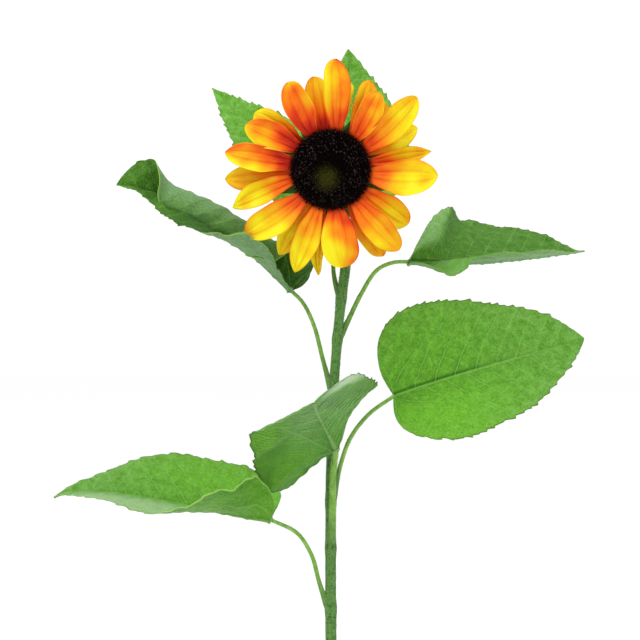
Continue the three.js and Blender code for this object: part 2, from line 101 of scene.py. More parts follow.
LEAVES = {
    "lower_left": dict(
        rib=[(-36.2, -6, 111.7), (-78, -16, 118), (-144, -6, 137), (-167, 8, 124)],
        facing=[(0.1, -0.5, 0.8), (0, -0.5, 0.86)], half=(0.345, 0.39), lobe=(0.02, 0.24),
        rise=([70, 67, 43, 28, 25, 25, 25, 25, 25], [-6, -8, -6, -2, 2, 6, 8, 8, 8]),
        curl=([20, 20, 0, 0, 0], [0, 0]), taper=((0.72, 0.4), (0.7, 0.6)), hook=(1, 1.5),
        wave=1.2, fresh=(0.97, 0.9, 0.97), down=0.1, frost=(0.7, 0.2), rim=0.85),
    "front": dict(
        rib=[(2.9, -10, 153), (-3, -12, 166), (-14, -20, 184), (-9, -102, 185)],
        facing=[(0.1, 1, 0.2), (-0.62, 0.2, 0.78), (-0.62, 0, 0.78)],
        half=(0.365, 0.45), lobe=(0.0, 0.3),
        rise=([74, 50, 8, -12, -10, -4, 0, 0, 0], [30, 20, -8, -14, -4, 14, 10, 6, 4]),
        taper=((0.6, 0.0), (0.72, 0.3)), hook=(1, 2.2), slim=(0.8, 0.6), wave=0.6,
        fresh=(0.9, 0.95, 0.9), down=0.45, frost=(1.0, 0.5), rim=0.0),
    "right": dict(
        rib=[(37.7, -12, 186), (70, -20, 198), (112, -22, 209), (151, -8, 220)],
        facing=[(-0.1, -0.95, 0.3), (0, -0.95, 0.25)], half=(0.395, 0.39), lobe=(0.11, 0.07),
        rise=([12, 10, 6, 3, 0], [34, 28, 22, 16, 10]), taper=((0.6, -0.3), (0.72, 0.05)),
        wave=1.2, fresh=(0.95, 0.9, 0.95), down=0.5),
    "upper_left": dict(
        rib=[(-24.3, 16, 249), (-46, 14, 270), (-84, 8, 309), (-129, 4, 312.5)],
        facing=[(0.45, -0.3, 0.78), (0.5, -0.2, 0.85), (0.4, -0.75, 0.6)],
        half=(0.37, 0.35), lobe=(-0.12, 0.12),
        rise=([30, 30, 22, 8, 0, 0, 6, 18, 30, 40],
              [20, 25, 36, 46, 56, 64, 70, 72, 72, 60, 20]),
        curl=([0, 0], [-20, 0, 110, 220, 240, 250, 255, 275, 270, 70, -60]),
        taper=((0.72, 0.1), (0.5, -0.7)), slim=(1.1, 0.8), wave=0.3,
        fresh=(0.6, 0.78, 0.78), down=1.0, rim=0.8),
    "upper_right": dict(
        rib=[(46.7, 6, 266.2), (72, 20, 264), (117, 40, 268), (158, 55, 274)],
        facing=[(0, -0.5, 0.866), (0, -0.5, 0.866)], half=(0.38, 0.36), lobe=(-0.12, 0.05),
        rise=([42, 40, 34, 14, 9, 9, 10, 10, 10], [24, 13, 31, 33, 34, 35, 35, 35, 35]),
        curl=([-50, -20, -10, 0, 0], [0, 0]), taper=((0.84, 0.6), (0.72, 0.6)),
        slim=(0.95, 0.8), wave=0.7, fresh=(0.79, 0.9, 0.79), down=0.9, turned=0.9),
    "back_left": dict(
        rib=[(-7.8, 24, 306.5), (-25, 34, 326), (-50, 44, 352), (-73, 42, 374)],
        facing=[(0.2, -0.8, 0.5), (0.2, -0.8, 0.5)], half=(0.31, 0.28), lobe=(0.12, 0.12),
        rise=([10, 10], [10, 10]), taper=((0.72, 0.2), (0.72, 0.2)), slim=(0.8, 0.95),
        wave=0.9, fresh=(1.3, 0.9, 1.3), down=0.6),
    "back_top": dict(
        rib=[(13, 40, 305.6), (16, 60, 336), (13, 72, 374), (11, 62, 400)],
        facing=[(-0.05, -0.95, 0.3), (0, -0.95, 0.1)], half=(0.34, 0.36), lobe=(0.12, 0.12),
        rise=([10, 10], [10, 10]), taper=((0.72, 0.2), (0.72, 0.2)), wave=0.9,
        fresh=(1.25, 0.9, 1.25), down=0.5),
}
LEAF_FOOT, LEAF_TIP = 0.0002, 0.9995  # where the blade's grid begins and ends along the leaf
VEIN_STEP = 0.105  # between two side veins, as a share of the leaf's length
TOOTH_RISE, TOOTH_FALL = 0.84, 0.16  # the shares of a tooth that rise and that fall off
LOBE_VEIN_WIDTH, MAIN_VEIN_WIDTH, MIDRIB_WIDTH, MIDRIB_BACK_WIDTH = 1.0, 1.1, 1.3, 0.9

# The flower head's own frame: X to the right as one looks at the flower, Y up, Z its facing.
HEAD_CENTRE = np.array([0.0, -24.0, 320.0])
HEAD_FACING = (-0.05, -0.985, -0.1)
DISC_HEIGHT, DISC_EDGE_HEIGHT = 8.5, 6.6  # the dome over the seat, in its middle and at its edge
DISC_RADIUS = 22.9
DISC_SIDE = [(16.0, 0.2), (20.6, 0.3), (22.3, 2.0), (22.9, 4.2)]  # radii and heights
DISC_DIMPLE = 3.4  # how deep the dimple round the heart is
# The heart lies below the disc's middle, so that near-black florets above it stand in for painted
# shade on the dimple's upper side.
DISC_HEART = (-2.2, -4.8)  # the middle of the dimple and of the green florets
GOLDEN_ANGLE = 2.399963

# A floret's outline: shares of its length and of its width. It has a closed foot and a mouth.
FLORET_OUTLINE = [(0.0, 0.55), (0.3, 0.75), (0.62, 1.0), (0.86, 0.82), (1.0, 1.15)]
FLORET_SIDES = 6
FLORET_FOOT, FLORET_MOUTH = 1.7, 0.35  # how deep its foot and the bottom of its mouth lie
BRISTLE_FOOT = 0.9  # how deep a bristle's foot lies under the face
BRISTLE_RADIUS, HAIR_RADIUS = 0.11, 0.07
NEEDLE_HEIGHTS = [0, 0, 0, 0.5, 0.5, 0.5, 1.0]  # how far up a bristle or hair its points are
NEEDLE_SIDE = (0.31, 0.52, 0.79)  # a way that no needle runs along
# How many times fewer hairs than the stem a stalk has.
HAIR_PART, FRONT_HAIR_PART = 12, 4

PETAL_ROOT = 21.5  # how far from the flower's axis the petals leave the disc
PETAL_CUP = 2.2  # how far a petal's edges stand over its middle
PETAL_WIDEST = 0.6  # where a petal is widest, as a share of its length
PETAL_CLAW = 0.37  # how wide it is at its root, as a share of its width
RED_PETAL = 0.75  # a petal that is less ripe than this beyond its middle has a yellower edge
# The three whorls, front to back: height of the roots, lift at the root, fall back to the tip.
WHORLS = [(3.2, 24, -34), (1.8, 14, -34), (0.7, 4, -30)]

# Each petal: bearing of its root and of its tip in degrees, anticlockwise from the right, how
# far its tip reaches from the flower's axis, its width, its whorl; then how pointed its tip is,
# how ripe its colour is at the root and beyond the middle, from 0, red, to 1, yellow, how much
# yellower its anticlockwise half is, partly its own tone and partly painted shade on the other
# half, how much redder its very tip, partly its own tint and partly painted shade, and the
# degrees that it is turned about its own length.
Petal = namedtuple(
    "Petal", "root_bearing tip_bearing reach width whorl sharp early late lean blush roll")
PETALS = [Petal(*row) for row in [
    (82, 87.5, 65, 16, 0, 0.15, 0.22, 0.76, 0.17, 0.20, 6),
    (118, 115.5, 57, 17, 0, 0.1, 0.02, 0.48, -0.08, -0.30, -8),
    (147, 152, 56.5, 16.5, 0, 0.3, 0.04, 0.64, 0.18, -0.12, 6),
    (169.8, 170.5, 63, 16.5, 0, 0.6, 0.02, 0.70, 0.20, 0.0, 8),
    (194.5, 201, 62, 14.5, 0, 0.9, 0.26, 0.97, 0.0, -0.1, -6),
    (224, 217.5, 63, 19, 0, 0.2, 0.24, 0.96, 0.08, 0.22, 4),
    (251, 250.5, 64, 15.5, 0, 0.8, 0.42, 0.96, 0.0, 0.0, -6),
    (277, 277.5, 58, 22, 0, 0.0, 0.22, 0.86, -0.24, 0.0, 0),
    (307.5, 310.5, 62, 17, 0, 0.2, 0.28, 0.78, -0.07, 0.05, 5),
    (352, 356.5, 63, 21, 0, 0.4, 0.32, 0.98, -0.10, 0.0, -4),
    (32, 39.5, 66, 17, 0, 0.2, 0.22, 0.92, -0.08, 0.0, 5),
    (52, 57.5, 53.5, 15.5, 0, 0.2, 0.22, 0.60, -0.10, -0.05, -6),
    (99.5, 100, 55.5, 14.5, 1, 0.1, 0.0, 0.76, -0.05, 0.0, 5),
    (142, 143.5, 56, 16.5, 1, 0.2, 0.04, 0.86, 0.0, -0.1, -4),
    (186, 185.5, 63, 15.5, 1, 0.5, 0.28, 0.76, -0.05, -0.1, 4),
    (238, 238.5, 59.5, 15, 1, 0.8, 0.44, 0.92, -0.08, 0.0, -8),
    (325.5, 324, 56, 17.5, 1, 0.1, 0.32, 0.90, -0.10, 0.10, 6),
    (10, 10, 60, 10.5, 1, 0.9, 0.20, 0.84, 0.0, -0.1, -5),
    (56, 66, 57, 14.5, 1, 0.3, 0.28, 0.76, 0.0, 0.0, 6),
    (82, 77.5, 52, 9.5, 1, 0.1, 0.36, 0.98, -0.05, 0.0, -6),
    (257, 262.5, 64, 9.5, 2, 1.0, 0.40, 0.88, 0.0, 0.0, 8),
    (300, 300, 60, 14, 2, 0.2, 0.30, 0.72, -0.05, 0.0, 0),
    (26, 26, 56, 14, 2, 0.3, 0.34, 0.98, -0.05, 0.0, -5),
    (50, 50, 50.5, 12, 2, 0.2, 0.30, 0.74, 0.0, 0.0, 5),
]]

# The whorls of bracts: how far each is turned on, in steps from bract to bract; the radius of
# its roots; its shortest length, the step to the next length and the number of lengths; its
# width; the height of its roots; how far its tips fall back. The first matches the frame, the
# second lies behind it, the third before it.
BRACTS = 18
BRACT_WHORLS = [(0, 19, 15, 4, 2, 8.5, -2.2, 4.5), (0.5, 15.5, 13.5, 1, 3, 7.5, -6.6, 5.5),
                (0.27, 20, 12, 1.2, 4, 6, -0.6, 1)]
BRACT_THICKNESS = 0.56
RECEPTACLE = [(4.2, -15.2), (7.5, -12), (14, -8), (21, -4.5), (24, -2), (23.5, 0.5), (19, 2)]

SEEDS = {"florets": 7, "bristles": 8, "stem hairs": 12, "stalk hairs": 27, "stem": 21,
         "petals": 100, "petal colours": 300}

# ---------------------------------------------------------------- the studio's own tables, metres

LIGHTS_AIM = (0.0, 0.0, 0.22)
# Each soft box: its place, the length of its sides and its share of the key light's power.
SOFT_BOXES = {
    "key soft box": ((-0.6, -1.0, 1.75), 0.8, 1.0),
    "fill soft box": ((1.3, -1.2, 0.5), 1.0, 0.15),
}
FLOOR_RINGS, FLOOR_SIDES = 12, 96
FLOOR_LEVEL = -0.0002

# ---------------------------------------------------------------- numbers and shapes


def tone(red, green, blue):
    """A colour as it is seen on a screen, from 0 to 255, turned into linear light."""
    shares = np.array([red, green, blue]) / 255
    return tuple(np.where(shares > 0.04045, ((shares + 0.055) / 1.055) ** 2.4, shares / 12.92))


def unit(vectors):
    """The vectors made one long."""
    vectors = np.asarray(vectors, float)
    return vectors / np.linalg.norm(vectors, axis=-1, keepdims=True)


def eased(values, share):
    """The value at a share of a list of values at equal steps, eased from one to the next."""
    values = np.asarray(values, float)
    steps = len(values) - 1
    place = np.clip(share, 0, 1) * steps
    step = np.minimum(place.astype(int), steps - 1)
    blend = place - step
    blend = blend * blend * (3 - 2 * blend)
    if values.ndim > 1:
        blend = blend[..., None]
    return values[step] * (1 - blend) + values[step + 1] * blend


def limit(value):
    """The value kept between 0 and 1, for arrays and for shader fields."""
    return value.limited() if isinstance(value, Field) else np.clip(value, 0.0, 1.0)


def ease(value, low, high):
    """0 up to low, 1 from high, and 3 t^2 - 2 t^3 between them."""
    share = limit((value - low) / (high - low))
    return share * share * (3 - 2 * share)


def fade_out(value, low, high):
    """1 up to low, 0 from high, eased between them."""
    return 1.0 - ease(value, low, high)


def turns(count):
    """Equal steps once round, in radians."""
    return np.linspace(0, math.tau, count, endpoint=False)


def ripple(x, y, wavelength, seed, waves=9):
    """An irregular swell, mostly between -1 and 1: the sum of plane waves over the square root
    of their number. Their directions, phases and lengths, within a factor of two, are drawn
    from a seeded generator."""
    draw = np.random.default_rng(seed)
    total = 0.0
    for turn, phase, stretch in draw.uniform((0, 0, 0.7), (math.tau, math.tau, 1.4), (waves, 3)):
        run = x * math.cos(turn) + y * math.sin(turn)
        total = total + np.sin(math.tau * run / (wavelength * stretch) + phase)
    return total / math.sqrt(waves)


class Path:
    """A line through space, read by the share of its length."""

    def __init__(self, points):
        self.points = points
        steps = np.linalg.norm(np.diff(points, axis=0), axis=1)
        self.shares = np.concatenate([[0], np.cumsum(steps)])
        self.length = self.shares[-1]
        self.shares = self.shares / self.length
        self.headings = unit(np.gradient(points, axis=0))

    def _read(self, rows, share):
        """Rows at the shares, each number on a straight line between its two neighbours."""
        return np.stack([np.interp(share, self.shares, rows[:, k]) for k in range(3)], -1)

    def at(self, share):
        return self._read(self.points, share)

    def heading(self, share):
        return unit(self._read(self.headings, share))


def path_through(points, steps=24):
    """A curve through the points: between two of them a cubic whose end slopes follow from both
    neighbours, weighted by the square roots of the distances."""
    points = np.asarray(points, float)
    points = np.vstack([2 * points[0] - points[1], points, 2 * points[-1] - points[-2]])
    gaps = np.sqrt(np.linalg.norm(np.diff(points, axis=0), axis=1))[:, None]
    before, start, end, after = points[:-3], points[1:-2], points[2:-1], points[3:]
    g0, g1, g2 = gaps[:-2], gaps[1:-1], gaps[2:]
    leave = ((start - before) / g0 - (end - before) / (g0 + g1) + (end - start) / g1) * g1
    arrive = ((end - start) / g1 - (after - start) / (g1 + g2) + (after - end) / g2) * g1
    t = np.linspace(0, 1, steps, endpoint=False)[:, None, None]
    curve = (start + leave * t + (3 * (end - start) - 2 * leave - arrive) * t**2
             + (2 * (start - end) + leave + arrive) * t**3)
    return Path(np.vstack([curve.transpose(1, 0, 2).reshape(-1, 3), points[-2]]))


def path_between(foot, leave, arrive, tip, steps=300):
    """A cubic from foot to tip whose two handles set how it leaves and arrives."""
    t = np.linspace(0, 1, steps)[:, None]
    foot, leave, arrive, tip = (np.asarray(p, float) for p in (foot, leave, arrive, tip))
    return Path(foot * (1 - t) ** 3 + 3 * leave * t * (1 - t) ** 2
                + 3 * arrive * t**2 * (1 - t) + tip * t**3)


def grid_normals(points):
    """Unit normals of a grid of points: the step across the grid crossed with the step along."""
    return unit(np.cross(np.gradient(points, axis=1), np.gradient(points, axis=0)))


def grid_faces(rows, columns, start=0, around=False):
    """Four-cornered faces of a grid of points, joined on itself across if it goes around."""
    index = np.arange(rows * columns).reshape(rows, columns) + start
    if around:
        index = np.concatenate([index, index[:, :1]], axis=1)
    return np.stack([index[:-1, :-1], index[:-1, 1:], index[1:, 1:], index[1:, :-1]],
                    -1).reshape(-1, 4)


def blade_faces(rows, columns):
    """Faces of a blade whose front grid comes first and whose back grid follows: front, back,
    then the four strips of the rim. With them, 0 for each face on the front and 1 for others."""
    front = grid_faces(rows, columns)
    back = grid_faces(rows, columns, rows * columns)[:, ::-1]
    index = np.arange(rows * columns).reshape(rows, columns)
    rim = np.concatenate([index[0], index[1:, -1], index[-1, -2::-1], index[-2:0:-1, 0]])
    turned = np.roll(rim, -1)
    strip = np.stack([turned, rim, rim + rows * columns, turned + rows * columns], -1)
    return (np.concatenate([front, back, strip]),
            np.repeat([0, 1], [len(front), len(back) + len(strip)]))


def blade_points(points, over, under):
    """Both faces of a blade, front first: the sheet moved along its normals by over and back
    by under."""
    normal = grid_normals(points)
    return np.concatenate([(points + normal * over[..., None]).reshape(-1, 3),
                           (points - normal * under[..., None]).reshape(-1, 3)])


def tube(path, shares, radii):
    """Rings of points round a path: at each share, radius away from it in every direction
    square to its heading. radii has a row for each ring and a value for each point on it."""
    ahead = path.heading(shares)
    side = unit(np.cross(ahead, (0.0, 1.0, 0.0)))
    up = np.cross(side, ahead)
    angle = turns(radii.shape[1])
    out = (side[:, None] * np.cos(angle)[None, :, None]
           + up[:, None] * np.sin(angle)[None, :, None])
    return path.at(shares)[:, None] + out * radii[..., None]


def tube_faces(rows, sides):
    """Faces of a tube with a middle point at each end, which follow after its rings."""
    faces = grid_faces(rows, sides, around=True).tolist()
    ring = np.arange(sides)
    ahead = np.roll(ring, -1)
    last = (rows - 1) * sides
    foot, tip = rows * sides, rows * sides + 1
    faces += np.stack([ahead, ring, np.full(sides, foot)], -1).tolist()
    faces += np.stack([ring + last, ahead + last, np.full(sides, tip)], -1).tolist()
    return faces


def from_head(points):
    """Points given in the head's frame, on the plant: centre + x right + y up + z facing."""
    facing = unit(HEAD_FACING)
    right = unit(np.cross((0.0, 0.0, 1.0), facing))
    return points @ np.stack([right, np.cross(facing, right), facing]) + HEAD_CENTRE


def on_bearing(bearing, radial, out, axial):
    """Points in the head's frame: radial away from its axis along a bearing, out to the left
    of that line, and axial up."""
    return np.stack([radial * np.cos(bearing) - out * np.sin(bearing),
                     radial * np.sin(bearing) + out * np.cos(bearing), axial + 0 * out], -1)


def needles(feet, ways, lengths, radius, bend=0.0):
    """Thin three-sided needles: points and faces. Each stands on its foot, runs the given way
    for its length, sags by bend times its length, and ends in a point."""
    ways = unit(ways)
    side = unit(np.cross(ways, NEEDLE_SIDE))
    other = np.cross(side, ways)
    lengths = np.asarray(lengths, float)[:, None]
    rings = []
    for share, width in ((0.0, 1.0), (0.5, 0.75)):
        middle = feet + ways * lengths * share
        middle[:, 2] -= (bend * lengths * share**2)[:, 0]
        for turn in (0.0, math.tau / 3, 2 * math.tau / 3):
            out = side * math.cos(turn) + other * math.sin(turn)
            rings.append(middle + radius * width * out)
    tip = feet + ways * lengths
    tip[:, 2] -= (bend * lengths)[:, 0]
    points = np.stack([*rings, tip], 1)
    index = np.arange(len(feet))[:, None] * len(NEEDLE_HEIGHTS)
    quads = [(0, 1, 4, 3), (1, 2, 5, 4), (2, 0, 3, 5)]
    ends = [(3, 4, 6), (4, 5, 6), (5, 3, 6), (2, 1, 0)]
    faces = [f for corners in quads + ends for f in (index + np.array(corners)).tolist()]
    return points.reshape(-1, 3), faces


def add_piece(name, points, faces, finishes, parts=None, flat=None, shares=None):
    """A mesh object in metres from points in millimetres. parts gives each face its finish, flat
    the points' places on the flattened surface, and shares are named numbers for each point.
    Both are repeated when they are given for a blade's front, for one form of many, or once."""
    mesh = bpy.data.meshes.new(name)
    mesh.from_pydata((np.asarray(points) * MM).tolist(), [],
                     faces.tolist() if isinstance(faces, np.ndarray) else faces)
    for finish in finishes:
        mesh.materials.append(finish)
    if parts is not None:
        mesh.polygons.foreach_set("material_index", np.asarray(parts, np.int32))
    if flat is not None:
        corners = np.zeros(len(mesh.loops), np.int32)
        mesh.loops.foreach_get("vertex_index", corners)
        layer = mesh.uv_layers.new(name="flat")
        flat = np.resize(np.asarray(flat, np.float32), (len(points), 2))
        layer.data.foreach_set("uv", flat[corners].ravel())
    for key, values in (shares or {}).items():
        layer = mesh.attributes.new(key, "FLOAT", "POINT")
        layer.data.foreach_set("value", np.resize(np.asarray(values, np.float32), len(points)))
    mesh.polygons.foreach_set("use_smooth", np.full(len(mesh.polygons), True))
    mesh.validate()
    piece = bpy.data.objects.new(name, mesh)
    bpy.context.scene.collection.objects.link(piece)
    return piece


def settle(piece, slot, *nodes):
    """Fixes a finished piece to the plant and hides what it replaces; slot is not used."""
    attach(piece, "root")
    if nodes:
        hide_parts(*nodes)


# ---------------------------------------------------------------- shader sums


class Field:
    """A value that varies over a surface. Sums with it become nodes of its finish."""

    def __init__(self, finish, socket):
        self.finish, self.socket = finish, socket

    def sum(self, operation, *values, clamped=False):
        return self.finish.node("ShaderNodeMath", {"operation": operation, "use_clamp": clamped},
                                dict(enumerate(values)))

    def limited(self):
        return self.sum("ADD", self, 0.0, clamped=True)

    def __add__(self, other):
        return self.sum("ADD", self, other)

    def __sub__(self, other):
        return self.sum("SUBTRACT", self, other)

    def __rsub__(self, other):
        return self.sum("SUBTRACT", other, self)

    def __mul__(self, other):
        return self.sum("MULTIPLY", self, other)

    def __truediv__(self, other):
        return self.sum("DIVIDE", self, other)

    def __pow__(self, other):
        return self.sum("POWER", self, other)

    def __mod__(self, other):
        return self.sum("FLOORED_MODULO", self, other)

    def __gt__(self, other):
        return self.sum("GREATER_THAN", self, other)

    def __lt__(self, other):
        return self.sum("LESS_THAN", self, other)

    def __abs__(self):
        return self.sum("ABSOLUTE", self)

    def __neg__(self):
        return self.sum("MULTIPLY", self, -1.0)

    __radd__ = __add__
    __rmul__ = __mul__


class Finish:
    """A material in the making: one shader, constants on its sockets, fields fed in."""

    def __init__(self, name, **constants):
        self.material = bpy.data.materials.new(name)
        self.material.use_nodes = True
        self.tree = self.material.node_tree
        self.tree.nodes.clear()
        self.shader = self.tree.nodes.new("ShaderNodeBsdfPrincipled")
        output = self.tree.nodes.new("ShaderNodeOutputMaterial")
        self.tree.links.new(self.shader.outputs[0], output.inputs[0])
        for socket, value in constants.items():
            self.shader.inputs[socket.replace("_", " ")].default_value = value

    def node(self, kind, settings=None, sockets=None, output=0):
        """A node with its settings, then the values or links of its sockets."""
        node = self.tree.nodes.new(kind)
        for key, value in (settings or {}).items():
            if key == "stops":
                ramp = node.color_ramp
                while len(ramp.elements) < len(value):
                    ramp.elements.new(1.0)
                for element, (place, colour) in zip(ramp.elements, value):
                    element.position, element.color = place, (*colour, 1.0)
            else:
                setattr(node, key, value)
        for key, value in (sockets or {}).items():
            if isinstance(value, Field):
                self.tree.links.new(value.socket, node.inputs[key])
            elif node.inputs[key].type == "RGBA":
                node.inputs[key].default_value = (*value, 1.0)
            else:
                node.inputs[key].default_value = value
        return Field(self, node.outputs[output])

    def feed(self, socket, field):
        self.tree.links.new(field.socket, self.shader.inputs[socket])

    def flat(self):
        """The place on the flattened surface."""
        return self.node("ShaderNodeUVMap", {"uv_map": "flat"})

    def place(self):
        """The place on the plant, in metres."""
        return self.node("ShaderNodeTexCoord", output=3)

    def parts(self, vector):
        """The three numbers of a vector."""
        return [self.node("ShaderNodeSeparateXYZ", None, {0: vector}, output=k) for k in range(3)]

    def shares(self, *names):
        """The named numbers that a piece carries for each of its points."""
        return [self.node("ShaderNodeAttribute", {"attribute_name": name}, output=2)
                for name in names]

    def stretched(self, vector, x, y, z=1.0):
        return self.node("ShaderNodeVectorMath", {"operation": "MULTIPLY"},
                         {0: vector, 1: (x, y, z)})

    def noise(self, vector, scale, detail=2.0, rough=0.5, output=0):
        return self.node("ShaderNodeTexNoise", {"noise_dimensions": "3D"},
                         {"Vector": vector, "Scale": scale, "Detail": detail, "Roughness": rough},
                         output)

    def stirred(self, vector, scale, reach):
        """The place drifted by noise, which takes the evenness out of a pattern."""
        return self.node("ShaderNodeVectorMath", {"operation": "MULTIPLY_ADD"},
                         {0: self.noise(vector, scale, 2.0, 0.5, 1), 1: (reach,) * 3, 2: vector})

    def cells(self, vector, scale, feature="F1"):
        return self.node("ShaderNodeTexVoronoi", {"feature": feature},
                         {"Vector": vector, "Scale": scale})

    def mix(self, under, over, share):
        return self.node("ShaderNodeMix", {"data_type": "RGBA"}, {0: share, 6: under, 7: over}, 2)

    def lit(self, colour, by):
        """The colour made darker or lighter by a factor."""
        return self.node("ShaderNodeVectorMath", {"operation": "SCALE"}, {0: colour, 3: by})

    def done(self, colour, roughness, height=None, strength=0.0, depth=0.0):
        """The material with its colour, its roughness, and bumps whose height is depth metres."""
        self.feed("Base Color", colour)
        self.feed("Roughness", roughness)
        if height:
            sockets = {"Strength": strength, "Distance": depth, "Height": height}
            self.feed("Normal", self.node("ShaderNodeBump", None, sockets))
        return self.material


# ---------------------------------------------------------------- veins, for relief and colour


def vein_start(x, y):
    """Where a side vein through a place leaves the midrib. x runs along the midrib and y
    across, both as shares of the length. A vein leaves at about 58 degrees and bends forward,
    so it left at x - 0.62 |y| - 0.8 y^2."""
    away = abs(y)
    return x - away * 0.62 - away * away * 0.8


def side_veins(x, y):
    """How near a place is to a side vein: 1 on it, 0 half way to the next. The veins of the two
    halves leave by turns."""
    return abs((vein_start(x, y) / VEIN_STEP + (y > 0) * 0.45) % 1.0 - 0.5) * 2.0


def vein_reach(x, y):
    """Side veins are told apart from the two main ones: 0 behind those, 1 well before them."""
    return ease(vein_start(x, y), 0.03, 0.09)


def main_veins(x, y):
    """Distance to the nearer one of the two strong veins that leave the foot: each runs along
    |y| = k x^0.6, with k 0.5 on the left half and 0.34 on the right."""
    return abs(abs(y) - (0.34 + (y < 0) * 0.16) * limit(x) ** 0.6)


def foot_veins(x, y):
    """Distance to the short vein that spreads from the foot into each lobe, x = 0.1 |y| - y^2."""
    away = abs(y)
    return abs(x - away * 0.1 + away * away)


# ---------------------------------------------------------------- leaf blades


def leaf_rows(rows):
    """Places along the leaf, closer together at the foot, where the outline turns fastest."""
    share = np.linspace(0, 1, rows)
    return LEAF_FOOT + (LEAF_TIP - LEAF_FOOT) * (0.35 * share + 0.65 * share**1.6)


def leaf_columns(columns):
    """Places across the leaf from -1 to 1, closer together at the midrib and at the margin."""
    share = np.linspace(-1, 1, columns)
    return np.sign(share) * (0.5 * np.abs(share) + 0.5 * np.sin(math.pi / 2 * np.abs(share)) ** 2)


def teeth(u, count, depth, seed):
    """The margin's teeth: each rises slowly and falls off sharply towards the tip, like a saw's,
    and they fade at the foot and at the tip. Their sizes differ a little."""
    phase = u * count + seed * 0.37 + 0.3 * np.sin(u * 23 + seed)
    saw = phase % 1.0
    shape = np.where(saw < TOOTH_RISE, (saw / TOOTH_RISE) ** 1.5, (1 - saw) / TOOTH_FALL)
    sizes = 0.75 + 0.35 * np.sin(np.floor(phase) * 2.4 + seed)
    return depth * sizes * shape * ease(u, 0.02, 0.12) * fade_out(u, 0.9, 0.985)


def leaf_sheet(leaf, u, v, tooth):
    """A leaf's middle sheet. A cross line at u runs from the midrib, which it leaves at u^1.6 of
    the length, to the margin, at u less the lobe's share times sin(pi sqrt u)^hook. Its
    half-width is sin(pi u^0.65)^slim of the widest, less the taper's share near the tip. The
    half leaf leaves the midrib at its rise and bends on as an arc, whose chord is sin(bend)/bend
    of its length. Returns the points, the places on the flattened leaf along and across, as
    shares of the length, and the length."""
    rib = path_between(*leaf["rib"])
    away = np.abs(v)
    left = v < 0

    def each(key):
        return np.where(left, leaf[key][0], leaf[key][1])

    narrowed = np.where(left, *(less * ease(u, begin, 1.0) for begin, less in leaf["taper"]))
    swell = np.sin(math.pi * u**0.65) ** each("slim") * (1 - narrowed)
    margin = rib.length * (u - each("lobe") * np.sin(math.pi * np.sqrt(u)) ** each("hook"))
    along = rib.length * u**1.6 * (1 - away) + margin * away + tooth * 0.5 * away**12
    half = each("half") * rib.length
    out = (half * swell + tooth * away**8) * away

    share = np.clip(along / rib.length, 0, 1)
    ahead = rib.heading(share)
    middle = rib.at(share) + ahead * np.minimum(along, 0)[..., None]
    normal = eased([unit(way) for way in leaf["facing"]], share)
    normal = unit(normal - ahead * (normal * ahead).sum(-1, keepdims=True))
    right = np.cross(ahead, normal)

    rise, curl = (np.radians(np.where(left, *(eased(half_leaf, u) for half_leaf in leaf[key])))
                  for key in ("rise", "curl"))
    bend = curl * out / half / 2
    chord = out * np.sinc(bend / math.pi)
    points = (middle + right * (np.sign(v) * chord * np.cos(rise + bend))[..., None]
              + normal * (chord * np.sin(rise + bend))[..., None])
    return points, along / rib.length, np.sign(v) * out / rib.length, rib.length


